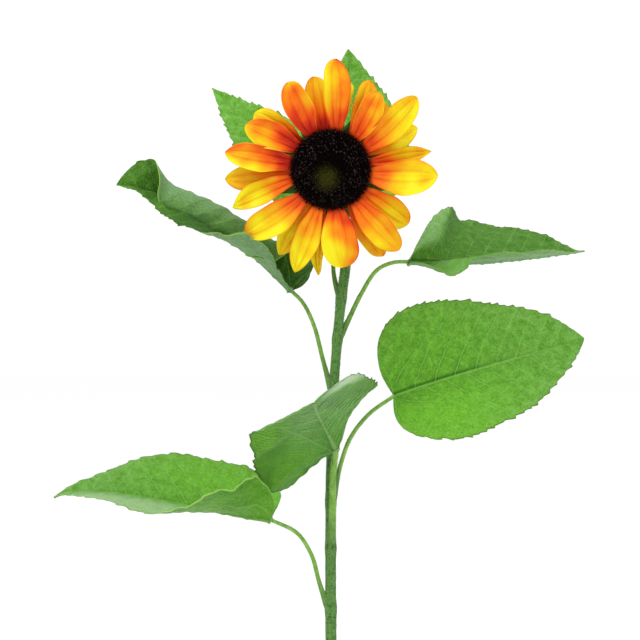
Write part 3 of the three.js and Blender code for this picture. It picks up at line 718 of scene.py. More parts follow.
def leaf_blade(name, leaf, look, seed, rows=230, columns=85):
    """Both faces of a leaf. The sheet is pushed along its normal by the sunken veins, the
    blisters between them, an irregular swell and the margin's waves. The under side stands off
    by the thickness and by the ribs of the veins, exp(-(distance / width)^2) for all but the
    side veins."""
    u = leaf_rows(rows)[:, None]
    v = leaf_columns(columns)[None, :]
    tooth = teeth(u, look.teeth, look.tooth_depth / MM, seed)
    points, x, y, length = leaf_sheet(leaf, u, v, tooth)
    away = np.abs(v) + 0 * u

    def bell(distance, width):
        return np.exp(-((distance * length / width) ** 2))

    near, reach = side_veins(x, y), vein_reach(x, y)
    side = ease(near, 0.72, 1.0) * reach * (1 - 0.6 * away)
    main = bell(main_veins(x, y), MAIN_VEIN_WIDTH) * fade_out(x, 0.3, 0.75)
    foot = bell(foot_veins(x, y), LOBE_VEIN_WIDTH) * fade_out(np.abs(y), 0.1, 0.28)
    grooves = np.maximum.reduce([0.6 * main, 0.5 * foot, 0.4 * side]) * (1 - 0.3 * x)
    midrib = bell(y, MIDRIB_WIDTH) * (0.4 + fade_out(x, 0.5, 1.0))
    blister = (1 - near**2) * reach * np.sin(math.pi * away) ** 0.6
    blister = blister * (1 - 0.6 * leaf["down"]) * fade_out(away, 0.8, 1.0)
    swell = ripple(x * length, y * length, 9.0, seed) * (0.35 + away)
    waves = np.sin(math.tau * (3.1 * u + 0.19 * seed) + 0.7 * np.sign(v)) * away**3
    waves = waves * np.sin(math.pi * u) ** 0.5
    lift = (look.vein_depth / MM * (0.9 * blister - 1.1 * grooves - 0.9 * midrib)
            + 0.28 * swell + leaf["wave"] * waves)

    points = points + grid_normals(points) * lift[..., None]
    thick = look.thickness / MM * (1 - 0.45 * away**6)
    ribs = ((1 - 0.8 * np.clip(x, 0, 1)) * bell(y, MIDRIB_BACK_WIDTH) * ease(u, 0.0, 0.01)
            + 0.4 * main + 0.3 * foot + 0.28 * side)
    points = blade_points(points, thick / 2, thick / 2 + ribs * (1 - away**4))

    # Painted sheen where a leaf folds over and catches the light, over its pale down; stronger on
    # the left half.
    turned = leaf["turned"] * ease(away, 0.2, 0.45) * fade_out(u, 0.2, 0.32)
    turned = turned * np.where(v < 0, 1, 0.45)
    # How bright each leaf is painted: partly its own tone, partly painted shade where it lies away
    # from the light, and painted light on a shaded tip.
    above, below, at_tip = leaf["fresh"]
    fresh = above + (at_tip - above) * ease(x, 0.6, 0.85)
    # White down with painted sheen on the left half's outer part, where a turned edge catches the
    # light at a grazing angle.
    frost, begin = leaf["frost"]
    frost = frost * ease(x, begin, begin + 0.1) * ease(-y * length, 0.0, 22.0)
    shares = {"margin": away, "fresh": np.stack([fresh, np.full_like(fresh, below)]),
              "down": leaf["down"], "turned": turned, "frost": frost, "rim": leaf["rim"]}
    faces, parts = blade_faces(rows, columns)
    return add_piece(name, points, faces, [leaf_upper_finish(), leaf_under_finish()], parts,
                     np.stack([x, y], -1), shares)


@lru_cache(maxsize=None)
def leaf_upper_finish():
    """Green in sunny and shaded patches over fine grain, the right half near the foot painted
    lighter; a net of small veins; shade beside the sunken veins and pale lines on them; then
    bloom, painted sheen where the leaf folds over, white down with painted sheen, and the dark
    tips of the teeth; all scaled by the leaf's tone and painted light and shade."""
    look = bpy.context.scene.sunflower_leaves
    finish = Finish("leaf upper side", Specular_IOR_Level=0.1, Sheen_Weight=0.08,
                    Sheen_Roughness=0.2, Subsurface_Weight=0.1, Subsurface_Scale=0.002)
    flat = finish.flat()
    margin, fresh, turned, frost, down = finish.shares("margin", "fresh", "turned", "frost",
                                                       "down")
    straight_x, y, _ = finish.parts(flat)

    broad = finish.noise(flat, 4.0, 2.0, 0.5)
    patch = finish.noise(flat, 22.0, 3.0, 0.65)
    grain = finish.noise(flat, 80.0, 4.0, 0.8)
    speck = finish.cells(flat, 62.0)
    net = fade_out(finish.cells(flat, 52.0, "DISTANCE_TO_EDGE"), 0.0, 0.1)
    fine_net = fade_out(finish.cells(flat, 120.0, "DISTANCE_TO_EDGE"), 0.0, 0.16)
    veinlets = finish.cells(finish.stirred(flat, 9.0, 0.07), 19.0, "DISTANCE_TO_EDGE")
    veinlets = fade_out(veinlets, 0.0, 0.07) * ease(patch, 0.35, 0.6)
    x = straight_x + (patch - 0.5) * 0.03

    away, near, reach, strong = abs(y), side_veins(x, y), vein_reach(x, y), main_veins(x, y)
    side = ease(near, 0.88, 1.0) * reach
    main = fade_out(strong, 0.001, 0.006) * fade_out(x, 0.05, 0.3)
    foot = fade_out(foot_veins(x, y), 0.001, 0.006) * fade_out(away, 0.05, 0.2)
    midrib = fade_out(away * (1.0 - down * 0.6), 0.0015, 0.006) * fade_out(x, 0.5, 0.95)
    groove = ease(-y, 0.002, 0.009) * fade_out(-y, 0.01, 0.028) * fade_out(x, 0.3, 0.66)
    trench = fade_out(strong, 0.006, 0.022) * fade_out(x, 0.05, 0.2)
    hollow = fade_out(abs(near - 0.84), 0.0, 0.14) * reach * fade_out(away, 0.05, 0.17)
    hollow = hollow * ease(broad, 0.42, 0.6) * fade_out(x, 0.3, 0.7)

    colour = finish.mix(look.deep_green, look.green, ease(broad, 0.2, 0.55) * 0.4 + 0.6)
    colour = finish.mix(colour, look.bright_green, ease(patch, 0.42, 0.72) * 0.4)
    # Painted light: the right half near the foot is made lighter, as where it faces up to the
    # light from above.
    colour = finish.mix(colour, look.bright_green, ease(y, 0.0, 0.2) * fade_out(x, 0.2, 0.9))
    # Where the leaf is painted dimmer, partly by its tone and partly by painted shade, it turns
    # deeper green.
    darkening = ((0.9 - fresh) * 2.5).limited()
    colour = finish.mix(colour, look.deep_green, darkening)
    pit = ease(speck, 0.4, 0.75) * down * 0.25
    colour = finish.lit(colour, -0.42 + grain * 1.75 + speck * 0.45 + patch * 0.65 - pit)
    mesh = net * 0.16 + fine_net * 0.12 + veinlets * (0.2 + down * 0.2)
    colour = finish.mix(colour, look.vein_green, (mesh * (1.0 - darkening * 0.7)).limited())
    shade = (groove * 0.85 + trench * 0.4 + hollow * 0.4).limited()
    colour = finish.mix(colour, look.deep_green, shade)
    lines = midrib * 0.6 + main * 0.6 + foot * 0.4 + side * (0.2 + patch * 0.5)
    colour = finish.mix(colour, look.vein_green, lines.limited())
    bloom = ease(margin, 0.5, 1.0) * ease(grain, 0.35, 0.65) * ease(patch, 0.3, 0.6)
    bloom = bloom * 0.25 + ease(x, 0.2, 0.9) * 0.3 * ease(patch, 0.3, 0.6)
    bloom = bloom * (1.0 - down * 0.5) * (1.0 - darkening)
    # The fold's painted sheen joins the bloom.
    bloom = (bloom + turned * (0.45 + net * 0.5 + grain * 0.3)).limited()
    colour = finish.mix(colour, look.bloom_green, bloom)
    # White down with painted sheen.
    colour = finish.mix(colour, look.frost, (frost * (0.2 + grain * 0.7)).limited())
    colour = finish.mix(colour, look.tooth_green, ease(margin, 0.975, 0.995) * 0.6)
    height = grain * 0.8 + speck * 0.5 - net * 0.5 - fine_net * 0.4
    # The colour is scaled by the leaf's tone and painted light and shade, and lifted by a fold's
    # painted sheen.
    return finish.done(finish.lit(colour, fresh + turned * 0.45), 0.5 + patch * 0.18, height,
                       0.6, 0.0007)


@lru_cache(maxsize=None)
def leaf_under_finish():
    """Green between darker lines, under pale down; raised veins, then white down with painted
    sheen, and the margin; all scaled by the leaf's tone and painted light and shade.
    """
    look = bpy.context.scene.sunflower_leaves
    finish = Finish("leaf under side", Specular_IOR_Level=0.08, Sheen_Weight=0.15,
                    Sheen_Roughness=0.2, Subsurface_Weight=0.1, Subsurface_Scale=0.002)
    flat = finish.flat()
    x, y, _ = finish.parts(flat)
    margin, fresh, down, rim, frost = finish.shares("margin", "fresh", "down", "rim", "frost")

    broad = finish.noise(flat, 5.0, 3.0, 0.6)
    fuzz = finish.noise(flat, 85.0, 4.0, 0.8)
    net = fade_out(finish.cells(flat, 70.0, "DISTANCE_TO_EDGE"), 0.0, 0.12)
    side = ease(side_veins(x, y), 0.86, 1.0) * vein_reach(x, y)
    away = abs(y)
    wobble = (broad - 0.5) * 0.06
    between = abs(((vein_start(x, y) + wobble) * (4.0 / VEIN_STEP)) % 1.0 - 0.5)
    between = ease(between * 2.0, 0.3, 0.9) * ease(broad + x * 0.9, 0.45, 0.75)
    between = between * (1.0 - down * 0.7) * (1.0 - rim * 0.8) * (1.0 - ease(y, 0.0, 0.2) * 0.4)
    main = fade_out(main_veins(x, y), 0.001, 0.006) * fade_out(x, 0.3, 0.8)
    foot = fade_out(foot_veins(x, y), 0.001, 0.005) * fade_out(away, 0.1, 0.3)
    midrib = fade_out(away, 0.002, 0.007)

    hoary = ease(x + broad * 0.2, 0.15, 0.45) * 0.3 * fade_out(away, 0.1, 0.4)
    hoary = hoary + down * (0.4 + down * 0.4)
    hoary = (hoary * (0.6 + down * 0.4) * (1.0 - ease(y, 0.05, 0.3) * 0.7)).limited()
    colour = finish.mix(look.under_deep, look.under_green, ease(broad, 0.3, 0.65))
    colour = finish.mix(colour, look.under_pale, hoary)
    colour = finish.lit(colour, 0.12 + fuzz * 1.9 - between * 0.6)
    colour = finish.mix(colour, look.under_pale, net * 0.08 * (1.0 + down))
    lines = (midrib * 0.5 + main * 0.35 + foot * 0.3 + side * 0.3).limited()
    colour = finish.mix(colour, look.under_vein, lines)
    # White down with painted sheen, except on a pale margin.
    colour = finish.mix(colour, look.frost, (frost * (0.4 + fuzz) * (1.0 - rim)).limited())
    colour = finish.mix(colour, look.margin_green, ease(margin, 0.965, 0.985) * rim)
    colour = finish.mix(colour, look.tooth_green, ease(margin, 0.97, 0.99) * (0.6 - rim).limited())
    # The under side is scaled by the leaf's tone and painted light and shade.
    return finish.done(finish.lit(colour, fresh), 0.6 + fuzz * 0.2,
                       net * 0.3 + between * 0.6 + fuzz * 0.7 + lines * 0.5, 0.5, 0.0007)


# ---------------------------------------------------------------- stem, stalks and hairs


def stem_path():
    """The stem's line, carried on into the back of the head along its facing."""
    facing = unit(HEAD_FACING)
    behind = [HEAD_CENTRE - facing * (STEM_NECK + 9), HEAD_CENTRE - facing * STEM_NECK]
    return path_through([*STEM_LINE, *behind])


def stem_radius(shares, heights):
    """Eased radii, widened at the ground and swollen where each leaf stalk leaves, each by a
    bell exp(-(height / reach)^2)."""
    radius = eased(STEM_RADII, shares)
    places = [(0, STEM_FLARE)] + [(line[0][2] + 2, STEM_SWELLING) for line, _ in STALKS.values()]
    for place, (more, reach) in places:
        radius = radius + more * np.exp(-(((heights - place) / reach) ** 2))
    return radius


def stem_shape(rows=420, sides=40):
    """Rings round the stem's path. Shallow ribs cos(9 angle), which turn slowly on the way up,
    and an irregular swell make the radius vary by a few hundredths."""
    path = stem_path()
    shares = np.linspace(0, 1, rows)
    heights = path.at(shares)[:, 2]
    angle = turns(sides)[None, :]
    radius = stem_radius(shares, heights)[:, None]
    ribs = np.cos(9 * angle + heights[:, None] * 0.012)
    lumps = ripple(heights[:, None], 3.2 * np.cos(angle), 11.0, SEEDS["stem"])
    lumps = lumps * np.cos(angle + 0.6)
    return path, shares, radius * (1 + 0.022 * ribs + 0.02 * lumps)


def stalk_shape(line, radii, rows=110, sides=22):
    """Rings round a stalk's path: a shallow channel along its upper side, a collar where it
    leaves the stem, and a round foot inside it, 1 - (1 - s/0.08)^2 under a square root."""
    path = path_through(line)
    shares = np.linspace(0, 1, rows)
    angle = turns(sides)[None, :]
    foot = np.sqrt(np.clip(1 - (1 - np.clip(shares / 0.08, 0, 1)) ** 2, 0.02, 1))
    collar = foot * (1 + 0.25 * np.exp(-((shares / 0.12) ** 2)))
    radius = (eased(radii, shares) * collar)[:, None]
    channel = 1 - 0.13 * np.exp(-(((angle - math.pi / 2) / 0.5) ** 2))
    return path, shares, radius * channel * (1 + 0.03 * np.cos(5 * angle + shares[:, None] * 4))


def limb_piece(name, path, shares, radii, finish):
    """A stem or stalk: rings of the given radii round its path, closed at both ends."""
    points = tube(path, shares, radii)
    rows, sides = radii.shape
    ends = [path.at(shares[:1])[0], path.at(shares[-1:])[0]]
    along = np.repeat(shares * path.length, sides)
    flat = np.stack([along, np.tile(np.arange(sides), rows)], -1)
    flat = np.vstack([flat, [[0, 0], [path.length, 0]]])
    run = np.concatenate([np.repeat(shares, sides), [0.0, 1.0]])
    return add_piece(name, np.vstack([points.reshape(-1, 3), *ends]), tube_faces(rows, sides),
                     [finish], flat=flat, shares={"run": run})


def hairs_on(path, shares, radii, count, length, seed):
    """Feet, directions and lengths of hairs scattered over a limb. A hair stands square to the
    limb, thrown a little off by a seeded draw."""
    draw = np.random.default_rng(seed)
    place = draw.uniform(0.01, 0.985, count)
    angle = draw.uniform(0, math.tau, count)
    ahead = path.heading(place)
    side = unit(np.cross(ahead, (0.0, 1.0, 0.0)))
    up = np.cross(side, ahead)
    out = side * np.cos(angle)[:, None] + up * np.sin(angle)[:, None]
    radius = np.interp(place, shares, radii.mean(axis=1)) * 0.96
    feet = path.at(place) + out * radius[:, None]
    ways = out + draw.normal(0, 0.3, (count, 3)) - ahead * 0.25
    return feet, ways, length * draw.uniform(0.5, 1.25, count)


def stem_colour(finish, look):
    """The stem's granular green, and the grain that makes it."""
    place = finish.place()
    grain = finish.noise(finish.stretched(place, 1.0, 1.0, 0.6), 620.0, 3.0, 0.7)
    mottle = finish.noise(finish.stretched(place, 1.0, 1.0, 0.3), 260.0, 3.0, 0.6)
    fleck = finish.cells(finish.stretched(place, 1.0, 1.0, 0.6), 1000.0)
    colour = finish.mix(look.deep_green, look.green, ease(grain + mottle * 0.4, 0.5, 0.78))
    colour = finish.mix(colour, look.pale_green, fade_out(fleck, 0.12, 0.32) * 0.5)
    return colour, grain - fleck * 0.5


@lru_cache(maxsize=None)
def stem_finish():
    """The stem's skin, a little darker towards the head."""
    look = bpy.context.scene.sunflower_stem
    finish = Finish("stem skin", Specular_IOR_Level=0.12, Sheen_Weight=0.9, Sheen_Roughness=0.15)
    colour, grain = stem_colour(finish, look)
    _, _, height = finish.parts(finish.place())
    colour = finish.mix(colour, look.deep_green, ease(height, 0.2, 0.29) * 0.2)
    return finish.done(colour, 0.55 + grain * 0.2, grain, 0.6, 0.0006)


@lru_cache(maxsize=None)
def stalk_finish():
    """The stem's skin at the foot, which gives way to streaks and lighter blotches."""
    look = bpy.context.scene.sunflower_stem
    finish = Finish("leaf stalk skin", Specular_IOR_Level=0.12, Sheen_Weight=0.2,
                    Sheen_Roughness=0.2)
    place, [run] = finish.place(), finish.shares("run")
    streak = finish.noise(finish.stretched(place, 1.0, 1.0, 0.35), 700.0, 3.0, 0.6)
    blotch = finish.noise(place, 120.0, 3.0, 0.6)
    colour = finish.mix(look.stalk_deep, look.stalk_green, ease(streak, 0.3, 0.6))
    colour = finish.mix(colour, look.stalk_pale, ease(blotch, 0.45, 0.7) * 0.5)
    skin, grain = stem_colour(finish, look)
    colour = finish.mix(skin, colour, ease(run + (blotch - 0.5) * 0.2, 0.05, 0.5) * 0.8 + 0.1)
    return finish.done(colour, 0.5 + blotch * 0.2, streak * 0.5 + grain * 0.5, 0.5, 0.0004)


@lru_cache(maxsize=None)
def hair_finish():
    """White hairs, greener in patches."""
    look = bpy.context.scene.sunflower_stem
    finish = Finish("white hairs", Specular_IOR_Level=0.2)
    patch = finish.noise(finish.place(), 180.0, 2.0)
    colour = finish.mix(look.hair_white, look.pale_green, ease(patch, 0.35, 0.7))
    return finish.done(colour, 0.4 + patch * 0.3)


# ---------------------------------------------------------------- flower head


def petal_sheet(petal, u, v):
    """A petal's middle sheet in the head's frame. Its slope turns steadily from the lift at the
    root to the lift plus the fall at the tip, so its outward and upward runs are differences of
    sines and cosines. Its width opens from the claw as sin(pi/2 u/0.6)^1.3 and closes as
    (1 - w^p)^q, w being the share beyond the widest place; its edges stand over its middle by
    the cup v^2 sin(pi u), its line swings sideways from the root's bearing to the tip's, and it
    is turned about its own length."""
    height, lift, fall = WHORLS[petal.whorl]
    start, turn = math.radians(lift), math.radians(fall)
    slope = start + turn * u

    def outward(s):
        return (np.sin(start + turn * s) - math.sin(start)) / turn

    upward = (math.cos(start) - np.cos(slope)) / turn
    scale = (petal.reach - PETAL_ROOT) / outward(1.0)
    opened = np.sin(math.pi / 2 * np.minimum(u / PETAL_WIDEST, 1)) ** 1.3
    opening = PETAL_CLAW + (1 - PETAL_CLAW) * opened
    beyond = np.clip((u - PETAL_WIDEST) / (1 - PETAL_WIDEST), 0, 1)
    closing = (1 - beyond ** (2.6 - petal.sharp)) ** (0.5 + 0.35 * petal.sharp)
    out = v * petal.width / 2 * opening * closing
    turned = math.radians(petal.roll) * ease(u, 0.0, 0.5)
    cup = PETAL_CUP * v * v * np.sin(math.pi * u) + out * np.sin(turned)
    out = out * np.cos(turned)

    radial = PETAL_ROOT + scale * outward(u) - np.sin(slope) * cup
    axial = height + scale * upward + np.cos(slope) * cup
    swing = petal.tip_bearing - petal.root_bearing
    bearing = np.radians(petal.root_bearing + swing * u**1.2)
    return on_bearing(bearing, radial, out, axial)


def petal_blade(index, petal, look, rows=90, columns=37):
    """Both faces of a petal. Two creases at about a third of the half-width, and a faint one
    between them, run from claw to tip and fade there; the blade bulges between them, and its
    edge waves. The piece's shares tell how ripe the colour is, with painted light on the bulges
    and painted shade on one half and at the tip, and how deep the crease, which the finish
    paints in shade."""
    draw = np.random.default_rng(SEEDS["petals"] + index)
    shift, middle, phase, second = draw.uniform((-0.07, -0.06, 0, 0), (0.07, 0.06, 6.28, 6.28))
    share = np.linspace(0, 1, rows)
    u = (0.004 + 0.9945 * (1 - (1 - share) ** 1.35))[:, None]
    v = np.linspace(-1, 1, columns)
    v = (np.sign(v) * (1 - (1 - np.abs(v)) ** 1.15))[None, :]
    points = petal_sheet(petal, u, -v)
    away = np.abs(v)
    side = -v + 0 * u

    def crease(place, width):
        return np.exp(-(((side - place * (1 - 0.25 * u)) / width) ** 2))

    fade = ease(u, 0.02, 0.2) * fade_out(u, 0.82, 1.0)
    folds = np.maximum.reduce([crease(0.36 + shift, 0.085), crease(-0.36 + shift, 0.085),
                               0.55 * crease(middle, 0.07)]) * fade
    bulge = (np.cos(math.pi * (side - shift) / 0.36) * 0.5 + 0.5) * fade
    veins = np.sin(side * 38 + 2.0 * np.sin(u * 5 + phase)) * ease(u, 0.02, 0.3)
    edge = np.sin(math.tau * 1.7 * u + phase + 1.1 * np.sign(v)) * away**3 * ease(u, 0.15, 0.5)
    nod = 0.9 * np.sin(math.tau * 0.8 * u + second) * ease(u, 0.1, 0.6)
    lift = look.pleat_depth / MM * (0.55 * bulge - folds)
    lift = lift + 0.035 * veins + 0.85 * edge + nod * 0.5
    points = points + grid_normals(points) * lift[..., None]
    thick = look.thickness / MM * (1 - 0.6 * away**4) * (1 - 0.5 * u)
    points = blade_points(points, thick / 2, thick / 2)

    swirl = ripple(u * 38, side * petal.width / 2, 13.0, SEEDS["petal colours"] + index)
    # The colour's ripeness with painted light and shade: one half redder by painted shade as well
    # as its tone, the tip redder by its tint and painted shade, and painted light where the blade
    # bulges.
    ripe = petal.early + (petal.late - petal.early) * ease(u, 0.06, 0.7)
    ripe = ripe + petal.lean * side * 1.6 * ease(u, 0.1, 0.4) + 0.08 * swirl * ease(u, 0.05, 0.4)
    ripe = ripe + 0.04 * bulge - petal.blush * ease(u, 0.82, 1.0)
    along, across = u * (petal.reach - PETAL_ROOT) + 0 * v, side * petal.width / 2
    flat = np.stack([along, across], -1).reshape(-1, 2) / 10
    flat[:, 1] += index * 3.0
    shares = {"ripe": ripe, "crease": folds, "edge": away + 0 * u, "run": u + 0 * v,
              "rim": 0.22 if petal.late < RED_PETAL else -0.14}
    faces, parts = blade_faces(rows, columns)
    return add_piece(f"petal_{index + 1:02d}", from_head(points), faces,
                     [petal_finish(True), petal_finish(False)], parts, flat, shares)


@lru_cache(maxsize=None)
def petal_finish(upper):
    """Red to light yellow by how ripe the petal is, with painted light and shade in that, in
    streaks, with painted shade along the creases, darker fine threads, another tone along its
    edge and brown where it leaves the disc."""
    look = bpy.context.scene.sunflower_petals
    finish = Finish("petal upper side" if upper else "petal under side",
                    Specular_IOR_Level=0.15, Subsurface_Weight=0.1, Subsurface_Scale=0.003)
    flat = finish.flat()
    ripe, crease, edge, run, rim = finish.shares("ripe", "crease", "edge", "run", "rim")
    streak = finish.noise(finish.stretched(flat, 0.5, 9.0), 3.2, 3.0, 0.6)
    thread = finish.noise(finish.stretched(flat, 0.35, 16.0), 5.0, 2.0, 0.5)
    cloud = finish.noise(flat, 1.6, 2.0)
    level = ripe - 0.06 + (streak - 0.5) * 0.26 + (cloud - 0.5) * 0.2
    # Painted shade along the creases; the fine threads are darker in their own colour.
    level = level - crease * (1.0 - run * 0.5) * 0.09 - ease(thread, 0.5, 0.8) * 0.08
    level = level + ease(edge, 0.9, 0.98) * rim
    stops = [(0.0, look.red), (0.18, look.scarlet), (0.36, look.orange), (0.54, look.amber),
             (0.72, look.gold), (0.9, look.yellow), (1.0, look.light_yellow)]
    colour = finish.node("ShaderNodeValToRGB", {"stops": stops}, {0: level})
    colour = finish.mix(colour, look.root_brown, fade_out(run, 0.02, 0.12) * 0.6)
    if not upper:
        colour = finish.mix(colour, look.under_yellow, 0.55)
    return finish.done(colour, 0.42 + streak * 0.2,
                       thread * 0.5 - crease * 0.5 + streak * 0.4, 0.2, 0.0005)


def heart_distance(across, up):
    """How far a place on the disc is from its green heart, in radii."""
    return np.hypot(across - DISC_HEART[0], up - DISC_HEART[1]) / DISC_RADIUS


def disc_height(across, up):
    """The disc's face over its seat: a flat dome 1 - r^4 with a dimple exp(-(d / 0.42)^2) round
    its heart, r and d being the distances from its middle and from its heart in radii."""
    share = np.hypot(across, up) / DISC_RADIUS
    dome = DISC_HEIGHT - (DISC_HEIGHT - DISC_EDGE_HEIGHT) * share**4
    return dome - DISC_DIMPLE * np.exp(-((heart_distance(across, up) / 0.42) ** 2))


def disc_cushion(rings=39, sides=96, depth=1.2):
    """The disc's body, which lies depth under the florets' face: a profile from the seat round
    its edge and over its face, carried round the flower's axis, with 13 shallow swells."""
    angle = turns(sides)
    edge = np.array(DISC_SIDE)
    radius = np.append(edge[:, 0], np.linspace(1, 0, rings + 1)[:-1] * DISC_RADIUS)[:, None]
    radius = radius * (1 + 0.012 * np.sin(angle * 13 + 0.5))
    across, up = radius * np.cos(angle), radius * np.sin(angle)
    height = disc_height(across, up) - depth
    height[:len(edge)] = edge[:, 1:]
    ends = np.array([[0, 0, edge[0, 1]], [0, 0, disc_height(0.0, 0.0) - depth]])
    points = np.vstack([np.stack([across, up, height], -1).reshape(-1, 3), ends])
    shares = {"ring": np.hypot(points[:, 0], points[:, 1]) / DISC_RADIUS,
              "heart": heart_distance(points[:, 0], points[:, 1]), "tip": 0.0}
    return add_piece("disc_cushion", from_head(points), tube_faces(len(radius), sides),
                     [floret_finish()], shares=shares)


def floret_places(count):
    """Places on the disc: the k-th lies sqrt(k / count) of the radius out and k golden angles
    round."""
    k = np.arange(count) + 0.5
    return np.sqrt(k / count), k * GOLDEN_ANGLE


def crowd_shares(ring, heart, heights):
    """The shares of many like forms on the disc: how far each lies from the axis and from the
    heart, and how far up its form each of its points is."""
    return {"ring": np.repeat(ring, len(heights)), "heart": np.repeat(heart, len(heights)),
            "tip": heights}


def disc_florets(look):
    """The florets, one small six-sided bud with an open mouth each: rings of points whose radius
    follows a profile, on an axis that leans outwards towards the rim. They are low and green in
    the dimple, taller and near black outside it."""
    share, angle = floret_places(look.florets)
    draw = np.random.default_rng(SEEDS["florets"])
    profile = np.array(FLORET_OUTLINE)
    out = np.stack([np.cos(angle), np.sin(angle), 0 * angle], -1)
    foot = out * (share * (DISC_RADIUS - 1.0))[:, None]
    foot[:, 2] = disc_height(foot[:, 0], foot[:, 1]) - FLORET_FOOT
    heart = heart_distance(foot[:, 0], foot[:, 1])
    young = fade_out(heart, 0.22, 0.42)
    length = (2.4 - 1.0 * young + 0.5 * ease(share, 0.8, 1.0)) * draw.uniform(0.8, 1.2, len(share))
    width = (0.47 - 0.12 * young) * draw.uniform(0.85, 1.15, len(share))
    lean = 0.12 + 0.75 * ease(share, 0.45, 1.0) - 0.3 * young
    lean = lean + draw.normal(0, 0.12, len(share))
    around = np.stack([-np.sin(angle), np.cos(angle), 0 * angle], -1)
    axis = unit(out * np.sin(lean)[:, None] + np.array([0, 0, 1.0]) * np.cos(lean)[:, None]
                + around * draw.normal(0, 0.12, (len(share), 1)))
    across = unit(np.cross(axis, around))
    other = np.cross(axis, across)
    turn = turns(FLORET_SIDES)
    circle = (across[:, None] * np.cos(turn)[None, :, None]
              + other[:, None] * np.sin(turn)[None, :, None])
    radius = (width[:, None] * profile[None, :, 1])[:, :, None, None]
    middle = foot[:, None] + axis[:, None] * (length[:, None] * profile[None, :, 0])[..., None]
    rings = middle[:, :, None] + circle[:, None] * radius
    top = middle[:, -1] - axis * FLORET_MOUTH
    points = np.concatenate([rings.reshape(len(share), -1, 3), middle[:, :1], top[:, None]], 1)
    step = np.arange(len(share))[:, None, None] * points.shape[1]
    faces = []
    for corners in (4, 3):
        like = [f for f in tube_faces(len(profile), FLORET_SIDES) if len(f) == corners]
        faces += (np.array(like) + step).reshape(-1, corners).tolist()
    heights = np.append(np.repeat(profile[:, 0], FLORET_SIDES), [0.0, 0.7])
    return add_piece("disc_florets", from_head(points.reshape(-1, 3)), faces, [floret_finish()],
                     shares=crowd_shares(share, heart, heights))


def disc_bristles(look):
    """Thin bristles between the florets, and a ring of longer ones that lean outwards over the
    petals' roots, each a needle at a seeded place."""
    draw = np.random.default_rng(SEEDS["bristles"])
    count, rim = look.bristles, look.bristles // 2
    share = np.sqrt(draw.uniform(0.0, 1.0, count))
    share = np.concatenate([share, draw.uniform(0.9, 1.02, rim)])
    angle = draw.uniform(0, math.tau, count + rim)
    outer = np.concatenate([np.zeros(count), np.ones(rim)])
    lean = np.where(outer > 0, draw.uniform(0.7, 1.45, count + rim), 0.2 + 0.7 * share**2)
    out = np.stack([np.cos(angle), np.sin(angle), 0 * angle], -1)
    ways = out * np.sin(lean)[:, None] + np.array([0, 0, 1.0]) * np.cos(lean)[:, None]
    ways = ways + draw.normal(0, 0.22, (count + rim, 3))
    feet = out * (share * (DISC_RADIUS - 0.6))[:, None]
    face = disc_height(feet[:, 0], feet[:, 1]) - BRISTLE_FOOT
    feet[:, 2] = np.where(outer > 0, draw.uniform(3.4, 6.2, count + rim), face)
    heart = heart_distance(feet[:, 0], feet[:, 1])
    young = fade_out(heart, 0.2, 0.4)
    length = np.where(outer > 0, draw.uniform(1.4, 3.9, count + rim),
                      draw.uniform(1.4, 2.7, count + rim) * (1 - 0.45 * young))
    points, faces = needles(feet, ways, length, BRISTLE_RADIUS)
    return add_piece("disc_bristles", from_head(points), faces, [bristle_finish()],
                     shares=crowd_shares(share, heart, NEEDLE_HEIGHTS))


@lru_cache(maxsize=None)
def floret_finish():
    """Near black with painted grey pink highlights on the mouths, maroon at the rim and olive in
    the heart.
    """
    look = bpy.context.scene.sunflower_disc
    finish = Finish("disc florets", Specular_IOR_Level=0.03)
    place = finish.place()
    ring, heart, tip = finish.shares("ring", "heart", "tip")
    grain = finish.noise(place, 900.0, 2.0)
    fleck = finish.noise(place, 560.0, 1.0)
    # The olive heart, set low so that the black florets above it paint the dimple's shade.
    green = fade_out(heart + (fleck - 0.5) * 0.35, 0.08, 0.42)
    colour = finish.mix(look.black_brown, look.brown, ease(grain, 0.45, 0.75) * 0.5)
    # Painted highlights: grey pink specks on the mouths of florets away from the heart and the
    # rim.
    pale = ease(tip, 0.75, 1.0) * ease(fleck, 0.52, 0.64) * ease(ring, 0.3, 0.6)
    colour = finish.mix(colour, look.glint_pink, pale * fade_out(ring, 0.88, 1.0) * 0.75)
    colour = finish.mix(colour, look.maroon, ease(ring, 0.9, 1.0) * 0.45)
    colour = finish.mix(colour, look.olive, green * (0.45 + tip * 0.55))
    return finish.done(colour, 0.65 + grain * 0.3, grain, 0.4, 0.0003)


@lru_cache(maxsize=None)
def bristle_finish():
    """As the florets, with painted highlights on their points."""
    look = bpy.context.scene.sunflower_disc
    finish = Finish("disc bristles", Specular_IOR_Level=0.06)
    ring, heart, tip = finish.shares("ring", "heart", "tip")
    fleck = finish.noise(finish.place(), 620.0, 1.0)
    colour = finish.mix(look.black_brown, look.maroon, ease(ring, 0.85, 1.0) * 0.6)
    # Painted highlights on the bristles' points.
    pale = tip * ease(fleck, 0.5, 0.62) * ease(ring, 0.3, 0.6)
    colour = finish.mix(colour, look.glint_pink, pale * fade_out(ring, 0.86, 1.0) * 0.7)
    colour = finish.mix(colour, look.olive_light, fade_out(heart, 0.08, 0.42) * 0.85)
    return finish.done(colour, 0.6 + fleck * 0.2)


def bract_rows():
    """Each bract: bearing, root's radius, length, width, root's height, fall of its tip."""
    return np.array([
        (math.tau * (k + shift) / BRACTS, root, shortest + (k % lengths) * step, width, *ends)
        for k in range(BRACTS)
        for shift, root, shortest, step, lengths, width, *ends in BRACT_WHORLS])


